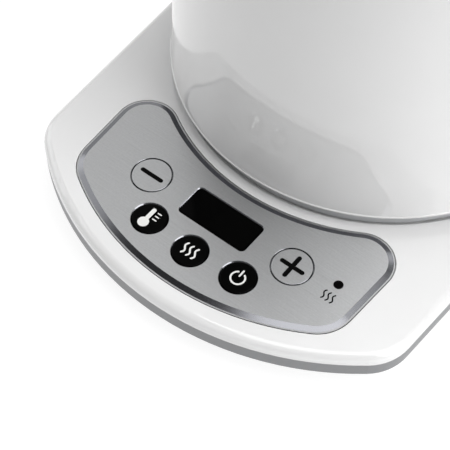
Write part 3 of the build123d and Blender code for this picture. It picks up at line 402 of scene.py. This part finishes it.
# Lower shell: the same plastic in grey from a fine-etched tool, so its gloss is broken up.
GREY_ABS = MouldedPlastic("grey_satin_abs", "808183", 0.42, peel_mm=0.9, peel_depth_mm=0.01, drift=0.04)
COVER_PP = MouldedPlastic(
    "grey_satin_polypropylene", "DCDDDF", 0.45, peel_mm=0.9, peel_depth_mm=0.01, ior=1.49
)
BLACK_KEY = MouldedPlastic(
    "black_satin_key_abs", "020202", 0.24, peel_mm=1.2, peel_depth_mm=0.002, gloss=0.04
)
DARK_PBT = MouldedPlastic("black_matt_pbt", "17181A", 0.55, peel_mm=0.7, peel_depth_mm=0.012, ior=1.55)
BUTTON_ABS = MouldedPlastic("grey_button_abs", "8B8D90", 0.35, peel_mm=0.9, peel_depth_mm=0.006)
ACETAL = MouldedPlastic("natural_acetal", "E6E5DF", 0.38, peel_mm=1.1, peel_depth_mm=0.006, ior=1.48)
DIFFUSER = MouldedPlastic("milky_polycarbonate", "E4E4DE", 0.45, peel_mm=0.8, peel_depth_mm=0.004, ior=1.58)
ACRYLIC = MouldedPlastic(
    "smoked_acrylic", "020202", 0.05, peel_mm=9.0, peel_depth_mm=0.001, ior=1.49, spread=0.01, gloss=0.05
)
# Moulded rubber and silicone: matt, with the fine grain of a blasted mould.
FOOT_RUBBER = MouldedPlastic(
    "black_foot_rubber", "1B1B1C", 0.8, peel_mm=0.5, peel_depth_mm=0.02, ior=1.52, drift=0.1
)
GRIP_RUBBER = MouldedPlastic(
    "grey_soft_grip", "5A5C60", 0.7, peel_mm=0.6, peel_depth_mm=0.02, ior=1.5, drift=0.06
)
SILICONE = MouldedPlastic("white_silicone", "D8D7D2", 0.5, peel_mm=0.8, peel_depth_mm=0.008, ior=1.43)
TAPE = MouldedPlastic("yellow_winding_tape", "C9A93A", 0.5, peel_mm=1.0, peel_depth_mm=0.01, ior=1.5)
SLEEVE = MouldedPlastic("dark_shrink_sleeve", "10131F", 0.3, peel_mm=1.0, peel_depth_mm=0.004, ior=1.5)
INK_BLACK = MouldedPlastic(
    "black_screen_ink", "020202", 0.5, peel_mm=0.3, peel_depth_mm=0.003, ior=1.5, drift=0.1, gloss=0.05
)
INK_WHITE = MouldedPlastic(
    "white_screen_ink", "E9E9E7", 0.55, peel_mm=0.3, peel_depth_mm=0.003, ior=1.5, drift=0.06
)
# Panel: aluminium sheet brushed along its length, with a diamond-cut edge; the edge's darker grey is painted
# shade.
PANEL_ALUMINIUM = BrushedMetal("brushed_anodised_aluminium", "C8C9CA", 0.36)
# Drawn stainless steel, turned with abrasive cloth.
VESSEL_STEEL = BrushedMetal(
    "drawn_stainless_steel", "B9B7B4", 0.30, around=True, bevel_roughness=0.28, bevel_colour="B9B7B4"
)
PLATE_ALUMINIUM = PlainMetal("rolled_aluminium", "BFC0C1", 0.4)
ZINC_STEEL = PlainMetal("zinc_plated_steel", "B4B6B8", 0.3)
BRASS = PlainMetal("stamped_brass", "C9A66B", 0.3)
BOARD = CircuitBoard("green_circuit_board", "1B5A34", 0.4)

SLOT_FINISH: dict[str, Finish] = {
    "white_gloss": WHITE_ABS,
    "grey_shell": GREY_ABS,
    "cover_grey": COVER_PP,
    "dark_plastic": DARK_PBT,
    "black_key": BLACK_KEY,
    "panel_metal": PANEL_ALUMINIUM,
    "smoked_window": ACRYLIC,
    "light_diffuser": DIFFUSER,
    "circuit_board": BOARD,
    "transformer_wrap": TAPE,
    "capacitor_sleeve": SLEEVE,
    "contact_brass": BRASS,
    "pale_acetal": ACETAL,
    "vessel_steel": VESSEL_STEEL,
    "aluminium_plate": PLATE_ALUMINIUM,
    "steel": ZINC_STEEL,
    "rubber": FOOT_RUBBER,
    "silicone": SILICONE,
    "soft_grip": GRIP_RUBBER,
    "button_grey": BUTTON_ABS,
}


def dress(piece: bpy.types.Object, finish: Finish) -> None:
    """Give a piece one finish, in its first material slot."""
    piece.data.materials.clear()
    piece.data.materials.append(finish.material())


# ------------------------------------------------------------------ meshes
def mesh_object(name: str, points: np.ndarray, faces: np.ndarray, crease: float = 35.0) -> bpy.types.Object:
    """Put whole arrays into a mesh, merge its poles and turn its faces outwards.

    Args:
        name: the piece's name.
        points: corner places, n by 3, in metres.
        faces: corner numbers, m by 4.
        crease: edges sharper than this many degrees stay sharp.

    Returns:
        The linked object, at the origin.
    """
    mesh = bpy.data.meshes.new(name)
    mesh.from_pydata(points.reshape(-1, 3).tolist(), [], faces.tolist())
    shape = bmesh.new()
    shape.from_mesh(mesh)
    bmesh.ops.remove_doubles(shape, verts=shape.verts[:], dist=1e-7)
    bmesh.ops.dissolve_degenerate(shape, edges=shape.edges[:], dist=1e-8)
    bmesh.ops.recalc_face_normals(shape, faces=shape.faces[:])
    shape.to_mesh(mesh)
    shape.free()
    mesh.shade_smooth()
    mesh.set_sharp_from_angle(angle=radians(crease))
    piece = bpy.data.objects.new(name, mesh)
    bpy.context.scene.collection.objects.link(piece)
    return piece


def grid_faces(rows: int, columns: int, wrap_rows: bool, wrap_columns: bool) -> np.ndarray:
    """Corner numbers of the squares of a grid whose corners are numbered row by row.

    Args:
        rows: corners along the first parameter.
        columns: corners along the second parameter.
        wrap_rows: True where the last row joins the first.
        wrap_columns: True where the last column joins the first.

    Returns:
        Squares, m by 4.
    """
    tall, wide = (rows if wrap_rows else rows - 1), (columns if wrap_columns else columns - 1)
    i, j = np.meshgrid(np.arange(tall), np.arange(wide), indexing="ij")
    down, right = (i + 1) % rows, (j + 1) % columns
    corners = [i * columns + j, down * columns + j, down * columns + right, i * columns + right]
    return np.stack(corners, axis=-1).reshape(-1, 4)


def stroke(
    name: str, line: np.ndarray, width: float, top: float, thick: float, across: int = 7, end: int = 6
) -> bpy.types.Object:
    """A printed stroke: a flat ribbon with round ends that follows a line in plan.

    The ribbon's half width is w along the line, and sqrt(w*w - d*d) at a distance d past either end.
    Its edge is drawn down by thick, so the print is a closed skin that stands on its key.

    Args:
        name: the piece's name.
        line: points of the centre line in plan, n by 2, in metres.
        width: full width of the stroke.
        top: height of its face.
        thick: thickness of the print.
        across: corners across the ribbon.
        end: rows of corners in each round end.

    Returns:
        The stroke as an object.
    """
    half = width / 2
    heading = np.gradient(line, axis=0)
    heading /= np.linalg.norm(heading, axis=1, keepdims=True)
    turn = np.linspace(0.0, pi / 2, end + 1)[:-1]
    before = line[:1] - heading[:1] * (half * np.cos(turn))[:, None]
    after = line[-1:] + heading[-1:] * (half * np.cos(turn[::-1]))[:, None]
    centre = np.concatenate([before, line, after])
    ahead = np.concatenate([np.repeat(heading[:1], end, 0), heading, np.repeat(heading[-1:], end, 0)])
    reach = np.concatenate([half * np.sin(turn), np.full(len(line), half), half * np.sin(turn[::-1])])
    side = np.stack([-ahead[:, 1], ahead[:, 0]], axis=1)
    share = np.linspace(-1.0, 1.0, across)
    plan = centre[:, None, :] + side[:, None, :] * (reach[:, None] * share)[..., None]
    face = np.concatenate([plan, np.full((*plan.shape[:2], 1), top)], axis=-1)
    back = face.copy()
    back[..., 2] = top - thick
    ring = np.concatenate([face, back[:, ::-1]], axis=1)
    return mesh_object(name, ring, grid_faces(ring.shape[0], ring.shape[1], False, True), crease=50.0)


def arc(centre: tuple[float, float], radius: float, start: float, end: float, count: int = 33) -> np.ndarray:
    """Points of a circular arc in plan.

    Args:
        centre: its centre.
        radius: its radius.
        start: first angle in degrees, from +X.
        end: last angle in degrees.
        count: number of points.

    Returns:
        Points, count by 2.
    """
    turn = np.radians(np.linspace(start, end, count))
    return np.stack([centre[0] + radius * np.cos(turn), centre[1] + radius * np.sin(turn)], axis=1)


def straight(start: tuple[float, float], end: tuple[float, float], count: int = 9) -> np.ndarray:
    """Evenly spaced points of a straight line in plan."""
    share = np.linspace(0.0, 1.0, count)[:, None]
    return np.asarray(start) * (1 - share) + np.asarray(end) * share


def wave(start: tuple[float, float], length: float, swing: float, count: int = 33) -> np.ndarray:
    """Points of one upright S: x = swing * sin(2 pi t), y = length * t."""
    share = np.linspace(0.0, 1.0, count)
    return np.stack([start[0] + swing * np.sin(2 * pi * share), start[1] + length * share], axis=1)


def node_middle(node: str) -> tuple[float, float]:
    """Middle of a CAD node in plan."""
    low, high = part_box(node)
    return (low.x + high.x) / 2, (low.y + high.y) / 2


# ------------------------------------------------------------------ sub-assemblies
class Mark(Enum):
    """The sign printed on a key."""

    MINUS = "minus"
    PLUS = "plus"
    THERMOMETER = "thermometer"
    HEAT = "heat"
    POWER = "power"


@dataclass
class PrintedMark:
    """A sign screen-printed on a key or on the panel.

    Attributes:
        mark: which sign.
        node: the CAD node that it is printed on.
        body: the CAD body that it rides on.
        ink: its finish.
        centre: its middle in plan.
        size: scale of the sign, 1 for a 12 mm key.
        thick: thickness of the ink.
        lift: how far the ink stands above the surface.
        step: how much higher each stroke stands than the one before, where they cross.
        bar: width of a thick stroke in millimetres.
        line: width of a thin one.
    """

    mark: Mark
    node: str
    body: str
    ink: Finish
    centre: tuple[float, float]
    size: float = 1.0
    thick: float = 0.06 * MM
    lift: float = 0.03 * MM
    step: float = 0.004 * MM
    bar: float = 1.6
    line: float = 0.62

    def strokes(self) -> list[tuple[np.ndarray, float]]:
        """Return the sign's centre lines, about its own middle in millimetres, with their widths."""
        if self.mark is Mark.MINUS:
            return [(straight((-3.95, 0), (3.95, 0)), self.bar)]
        if self.mark is Mark.PLUS:
            return [
                (straight((-3.95, 0), (3.95, 0)), self.bar),
                (straight((0, -4.0), (0, 4.0)), self.bar),
            ]
        if self.mark is Mark.THERMOMETER:
            tube = straight((-0.85, -2.0), (-0.85, 3.4))
            bulb = straight((-0.86, -2.3), (-0.84, -2.3), 3)
            ticks = [straight((1.0, y), (2.3, y)) for y in (0.4, 1.82, 3.24)]
            return [(tube, 1.5), (bulb, 3.9)] + [(tick, 0.45) for tick in ticks]
        if self.mark is Mark.HEAT:
            return [(wave((x, -2.1), 4.2, 0.5), self.line) for x in (-2.1, 0.0, 2.1)]
        ring = arc((0.0, -0.2), 2.4, 122.0, 418.0, 65)
        return [(ring, self.line), (straight((0.0, 0.7), (0.0, 3.0)), self.line)]

    def build(self) -> None:
        """Make the sign's strokes and fix them to their key."""
        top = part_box(self.node)[1].z + self.lift
        for number, (line, width) in enumerate(self.strokes()):
            name = f"{self.node}_{self.mark.value}_print_{number}"
            plan = line * self.size * MM + np.asarray(self.centre)
            piece = stroke(name, plan, width * self.size * MM, top + number * self.step, self.thick)
            dress(piece, self.ink)
            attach(piece, self.body)
            LOG.info("printed %s", piece.name)


@dataclass
class BaseUnit:
    """What is printed on the standing base's keys and panel.

    Attributes:
        key_marks: the sign on each key.
        indicator_mark_drop: how far in front of the indicator its sign stands.
        indicator_mark_size: scale of that sign.
    """

    key_marks: dict[str, Mark] = field(
        default_factory=lambda: {
            "minus_key": Mark.MINUS,
            "plus_key": Mark.PLUS,
            "temperature_key": Mark.THERMOMETER,
            "heat_key": Mark.HEAT,
            "power_key": Mark.POWER,
        }
    )
    indicator_mark_drop: float = 5.6 * MM
    indicator_mark_size: float = 0.8

    def build(self) -> None:
        """Print the keys and the indicator's sign."""
        for node, mark in self.key_marks.items():
            ink = INK_BLACK if mark in (Mark.MINUS, Mark.PLUS) else INK_WHITE
            PrintedMark(mark, node, node, ink, node_middle(node)).build()
        x, y = node_middle("heating_indicator")
        spot = (x, y - self.indicator_mark_drop)
        PrintedMark(Mark.HEAT, "panel_plate", "base", INK_BLACK, spot, self.indicator_mark_size).build()


@dataclass
class KettleShell:
    """The kettle's white outer shell, turned as one smooth skin in place of the faceted CAD wall.

    A point of the skin is (r cos t, r sin t, z). Going round its closed section, r and z run up the
    tapering outside, across the top, down the inside and round a small bead along the lower edge. The
    bead is r = r0 + b - e + e cos a, z = z0 + e + e sin a, with a over bead_turn. The squares
    behind the spout are left out, and the opening's rim is closed by strips from skin to skin.

    Attributes:
        low_z: height of the lower edge.
        low_radius: outer radius there.
        taper: radius lost per unit of height.
        wall: thickness of the wall.
        edge_round: radius e of the bead along the lower edge.
        bead: how far b the bead stands out.
        bead_turn: first and last angle a round the bead, in degrees.
        bead_corners: corners round the bead.
        bead_height: height of the bead, in bead radii.
        hole_z: lower and upper edge of the opening behind the spout.
        hole_half: half width of that opening.
        hole_columns: squares across the opening.
        around: squares round the rest of the circle.
    """

    low_z: float = 25.9 * MM
    low_radius: float = 75.0 * MM
    taper: float = 0.05
    wall: float = 2.2 * MM
    edge_round: float = 0.6 * MM
    bead: float = 0.3 * MM
    bead_turn: tuple[float, float] = (-90.0, 60.0)
    bead_corners: int = 13
    bead_height: float = 2.6
    hole_z: tuple[float, float] = (172.0 * MM, 192.0 * MM)
    hole_half: float = 15.0 * MM
    hole_columns: int = 16
    around: int = 304

    def section(self, top_z: float) -> np.ndarray:
        """Corners of the closed section, n by 2: radius and height, outside first.

        Args:
            top_z: height of the top edge.

        Returns:
            The corners: 4 up the outside, 4 down the inside, then the bead.
        """
        heights = np.array([self.low_z + self.bead_height * self.edge_round, *self.hole_z, top_z])
        outer = self.low_radius - self.taper * (heights - self.low_z)
        heights_in = np.array([top_z, *self.hole_z[::-1], self.low_z])
        inner = self.low_radius - self.wall - self.taper * (heights_in - self.low_z)
        turn = np.radians(np.linspace(*self.bead_turn, self.bead_corners))
        edge_r = self.low_radius + self.bead + self.edge_round * (np.cos(turn) - 1)
        edge_z = self.low_z + self.edge_round * (1 + np.sin(turn))
        return np.concatenate(
            [np.stack([outer, heights], 1), np.stack([inner, heights_in], 1), np.stack([edge_r, edge_z], 1)]
        )

    def build(self) -> None:
        """Turn the section round the axis, open it behind the spout and put it in the shell's place."""
        section = self.section(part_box("outer_shell")[1].z)
        hole_turn = np.arcsin(self.hole_half / section[1, 0])
        across = np.linspace(pi - hole_turn, pi + hole_turn, self.hole_columns + 1)
        rest = np.linspace(pi + hole_turn, 3 * pi - hole_turn, self.around + 1)[1:-1]
        turn = np.concatenate([across, rest])
        rows, columns = len(section), len(turn)
        radius, height = section[:, :1], section[:, 1:]
        points = np.stack(
            [radius * np.cos(turn), radius * np.sin(turn), np.broadcast_to(height, (rows, columns))], axis=-1
        )
        squares = grid_faces(rows, columns, True, True).reshape(rows, columns, 4)
        keep = np.ones((rows, columns), bool)
        keep[[OUT_SILL, IN_HEAD], : self.hole_columns] = False
        low, high = np.arange(self.hole_columns), np.arange(1, self.hole_columns + 1)
        ends = np.array([0, self.hole_columns])
        out_sill, out_head, in_head, in_sill = (n * columns for n in (OUT_SILL, OUT_HEAD, IN_HEAD, IN_SILL))
        sill = np.stack([out_sill + low, out_sill + high, in_sill + high, in_sill + low], 1)
        head = np.stack([out_head + low, in_head + low, in_head + high, out_head + high], 1)
        jambs = np.stack([out_sill + ends, out_head + ends, in_head + ends, in_sill + ends], 1)
        faces = np.concatenate([squares[keep], sill, head, jambs])
        piece = mesh_object("outer_shell_smooth", points, faces, crease=40.0)
        dress(piece, WHITE_ABS)
        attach(piece, "kettle")
        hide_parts("outer_shell")
        LOG.info("turned %s", piece.name)


@dataclass
class ButtonSpring:
    """Coil spring under the lid's button.

    A point of the wire is at radius R + w cos b from the coil's axis and at height
    z0 + w + (h - 2 w) a / (2 pi n) + w sin b, where a is the turn along the coil and b the turn round
    the wire. Both ends close on the wire's middle.

    Attributes:
        radius: coil radius R, to the middle of the wire.
        wire: wire radius w.
        turns: number of turns n.
        travel: how far the button goes down; not used.
        per_turn: corners along one turn.
        round_wire: corners round the wire.
    """

    radius: float = 5.0 * MM
    wire: float = 0.4 * MM
    turns: int = 4
    travel: float = 2.5 * MM
    per_turn: int = 40
    round_wire: int = 12

    def build(self) -> None:
        """Wind the spring in place of its CAD node."""
        low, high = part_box("button_spring")
        x, y = node_middle("lid_button")
        along = np.linspace(0.0, 1.0, self.per_turn * self.turns + 1)
        thick = np.full(len(along) + 2, self.wire)
        thick[[0, -1]] = 0.0
        along = np.concatenate([along[:1], along, along[-1:]])[:, None]
        thick = thick[:, None]
        turn = 2 * pi * self.turns * along
        wire_turn = np.linspace(0.0, 2 * pi, self.round_wire + 1)[:-1]
        reach = self.radius + thick * np.cos(wire_turn)
        climb = (high.z - low.z - 2 * self.wire) * along
        height = low.z + self.wire + climb + thick * np.sin(wire_turn)
        points = np.stack([x + reach * np.cos(turn), y + reach * np.sin(turn), height], axis=-1)
        squares = grid_faces(*points.shape[:2], False, True)
        piece = mesh_object("button_spring_coil", points, squares, crease=60.0)
        dress(piece, ZINC_STEEL)
        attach(piece, "lid")
        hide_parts("button_spring")
        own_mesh(piece)
        LOG.info("wound %s", piece.name)


def outward(azimuth: float, elevation: float) -> Vector:
    """Direction from the object to a bearing, 0 in front and 90 to the right, and a height, in degrees."""
    a, e = radians(azimuth), radians(elevation)
    return Vector((sin(a) * cos(e), -cos(a) * cos(e), sin(e)))


def hang(name: str, data: bpy.types.ID, place: Vector, back: Vector) -> bpy.types.Object:
    """Link a camera or a lamp.

    Args:
        name: its name.
        data: its camera or lamp data.
        place: where it hangs.
        back: direction that it faces away from.

    Returns:
        The linked object.
    """
    made = bpy.data.objects.new(name, data)
    made.location = place
    made.rotation_mode = "QUATERNION"
    made.rotation_quaternion = (-back).to_track_quat("-Z", "Y")
    bpy.context.scene.collection.objects.link(made)
    return made


@dataclass(frozen=True)
class Softbox:
    """A square softbox that faces the object.

    Attributes:
        name: the lamp's name.
        azimuth: its bearing in degrees, 0 in front and 90 to the right.
        elevation: its height above the horizon in degrees.
        side: width and height of its face, in metres.
        power: watts.
        distance: from the object, in metres.
    """

    name: str
    azimuth: float
    elevation: float
    side: float
    power: float
    distance: float = 1.6

    def build(self) -> None:
        """Hang the softbox."""
        back = outward(self.azimuth, self.elevation)
        data = bpy.data.lights.new(self.name, "AREA")
        data.shape = "RECTANGLE"
        data.size = data.size_y = self.side
        data.energy = self.power
        hang(self.name, data, back * self.distance, back)
        LOG.info("hung %s", self.name)


SOFTBOXES = (
    Softbox("right_softbox", 92.0, 35.0, 1.2, 18.0),
    Softbox("top_softbox", 118.0, 80.0, 1.3, 11.5),
    Softbox("left_softbox", -80.0, 30.0, 1.2, 5.0),
)


@dataclass
class Studio:
    """Floor with a painted glow, pale room, softboxes and the camera.

    Attributes:
        azimuth: camera's bearing in degrees, 0 in front and 90 to the right.
        elevation: camera's height above the horizon in degrees.
        distance: from the camera to the point it looks at.
        lens: focal length in millimetres.
        sensor: width of the camera's sensor in millimetres.
        near: nearest distance that the camera sees.
        aim_shift: where it looks, in plan, from the middle of the display.
        floor_size: side of the floor in metres.
        floor_greys: sRGB hex of the floor's two greys.
        floor_cloud_mm: size of the patches between them.
        floor_roughness: roughness of the floor.
        floor_glow: painted glow that the floor gives off, near the object and far away; strong near the
            object, it washes out the object's cast shadow.
        pool_reach: distances from the axis between which the glow falls.
        room: brightness of the room behind the camera and of the room beyond the object.
        flag_towards: direction of the middle of the grey flag that hangs at the upper left.
        flag_edge: cosines of the angles from that middle where the flag's soft edge ends and begins.
        flag_level: share of the room's light left in the middle of the flag.
    """

    azimuth: float = 38.52
    elevation: float = 55.2
    distance: float = 422.9 * MM
    lens: float = 102.94
    sensor: float = 36.0
    near: float = 10.0 * MM
    aim_shift: tuple[float, float] = (2.55 * MM, -1.13 * MM)
    floor_size: float = 6.0
    floor_greys: tuple[str, str] = ("8C8C8C", "888888")
    floor_cloud_mm: float = 40.0
    floor_roughness: float = 0.9
    floor_glow: tuple[float, float] = (0.84, 0.18)
    pool_reach: tuple[float, float] = (0.25, 0.5)
    room: tuple[float, float] = (0.18, 0.78)
    flag_towards: tuple[float, float, float] = (-0.5, -0.16, 0.85)
    flag_edge: tuple[float, float] = (0.87, 0.95)
    flag_level: float = 0.12

    def camera(self) -> None:
        """Place the camera on its bearing, looking beside the middle of the display."""
        x, y = node_middle("display_window")
        aim = Vector((x + self.aim_shift[0], y + self.aim_shift[1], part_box("panel_plate")[1].z))
        back = outward(self.azimuth, self.elevation)
        data = bpy.data.cameras.new("camera")
        data.sensor_width = self.sensor
        data.lens = self.lens
        data.clip_start = self.near
        bpy.context.scene.camera = hang("camera", data, aim + back * self.distance, back)

    def floor(self) -> None:
        """Lay a floor at the height of the feet, with a painted glow that is brightest under the object and
        washes out its cast shadow.
        """
        half = self.floor_size / 2
        corners = np.array([[-half, -half, 0], [half, -half, 0], [half, half, 0], [-half, half, 0]])
        made = mesh_object("studio_floor", corners, np.array([[0, 1, 2, 3]]))
        material = bpy.data.materials.new("floor_with_painted_glow")
        material.use_nodes = True
        tree = material.node_tree
        shader = tree.nodes["Principled BSDF"]
        where = add_node(tree, "ShaderNodeTexCoord").outputs["Object"]
        ramp = add_node(tree, "ShaderNodeValToRGB", links={"Fac": noise(tree, where, self.floor_cloud_mm)})
        for stop, grey in zip(ramp.color_ramp.elements, self.floor_greys):
            stop.color = linear(grey)
        reach = add_node(tree, "ShaderNodeVectorMath", {"operation": "LENGTH"}, {0: where})
        # painted glow: the floor's light is strongest near the axis, where it washes out the object's cast
        # shadow
        pool = {"To Min": self.floor_glow[0], "To Max": self.floor_glow[1]}
        pool |= {"From Min": self.pool_reach[0], "From Max": self.pool_reach[1]}
        glow = add_node(tree, "ShaderNodeMapRange", pool, {"Value": reach.outputs["Value"]})
        glow.interpolation_type = "SMOOTHSTEP"
        shader.inputs["Roughness"].default_value = self.floor_roughness
        shader.inputs["Emission Color"].default_value = linear("FFFFFF")
        tree.links.new(glow.outputs["Result"], shader.inputs["Emission Strength"])
        tree.links.new(ramp.outputs["Color"], shader.inputs["Base Color"])
        made.data.materials.append(material)

    def light(self) -> None:
        """Shade the room from behind the camera to beyond the object, with its flag, and hang the lamps."""
        scene = bpy.context.scene
        scene.view_settings.view_transform = "Standard"
        world = bpy.data.worlds.new("pale_room")
        world.use_nodes = True
        tree = world.node_tree
        sky = tree.nodes["Background"]
        looking = add_node(tree, "ShaderNodeTexCoord").outputs["Generated"]
        a = radians(self.azimuth)
        ahead = {"operation": "DOT_PRODUCT", 1: (-sin(a), cos(a), 0.0)}
        facing = add_node(tree, "ShaderNodeVectorMath", ahead, {0: looking})
        depth = {"From Min": -1.0, "From Max": 1.0, "To Min": self.room[0], "To Max": self.room[1]}
        level = add_node(tree, "ShaderNodeMapRange", depth, {"Value": facing.outputs["Value"]})
        flag = {"operation": "DOT_PRODUCT", 1: tuple(Vector(self.flag_towards).normalized())}
        beside = add_node(tree, "ShaderNodeVectorMath", flag, {0: looking})
        edge = {"From Min": self.flag_edge[0], "From Max": self.flag_edge[1]}
        edge |= {"To Min": 1.0, "To Max": self.flag_level}
        shade = add_node(tree, "ShaderNodeMapRange", edge, {"Value": beside.outputs["Value"]})
        shade.interpolation_type = "SMOOTHSTEP"
        factors = {0: level.outputs["Result"], 1: shade.outputs["Result"]}
        both = add_node(tree, "ShaderNodeMath", {"operation": "MULTIPLY"}, factors)
        sky.inputs["Color"].default_value = linear("FFFFFF")
        tree.links.new(both.outputs["Value"], sky.inputs["Strength"])
        scene.world = world
        for softbox in SOFTBOXES:
            softbox.build()

    def build(self) -> None:
        """Make the whole studio."""
        self.camera()
        self.floor()
        self.light()


def dress_nodes(frame: dict) -> None:
    """Give every CAD node the finish of its material slot.
    """
    for part in frame["record"]["subparts"]:
        finish = SLOT_FINISH[part["material_slot"]]
        dress(frame["nodes"][part["node"]], finish)
        LOG.info("dressed %s in %s", part["node"], finish.name)


def main() -> None:
    """Load the frame, dress it, add the pieces and set up the studio."""
    logging.basicConfig(level=logging.INFO, format="%(name)s: %(message)s")
    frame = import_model()
    dress_nodes(frame)
    BaseUnit().build()
    KettleShell().build()
    ButtonSpring().build()
    Studio().build()


if __name__ == "__main__":
    main()
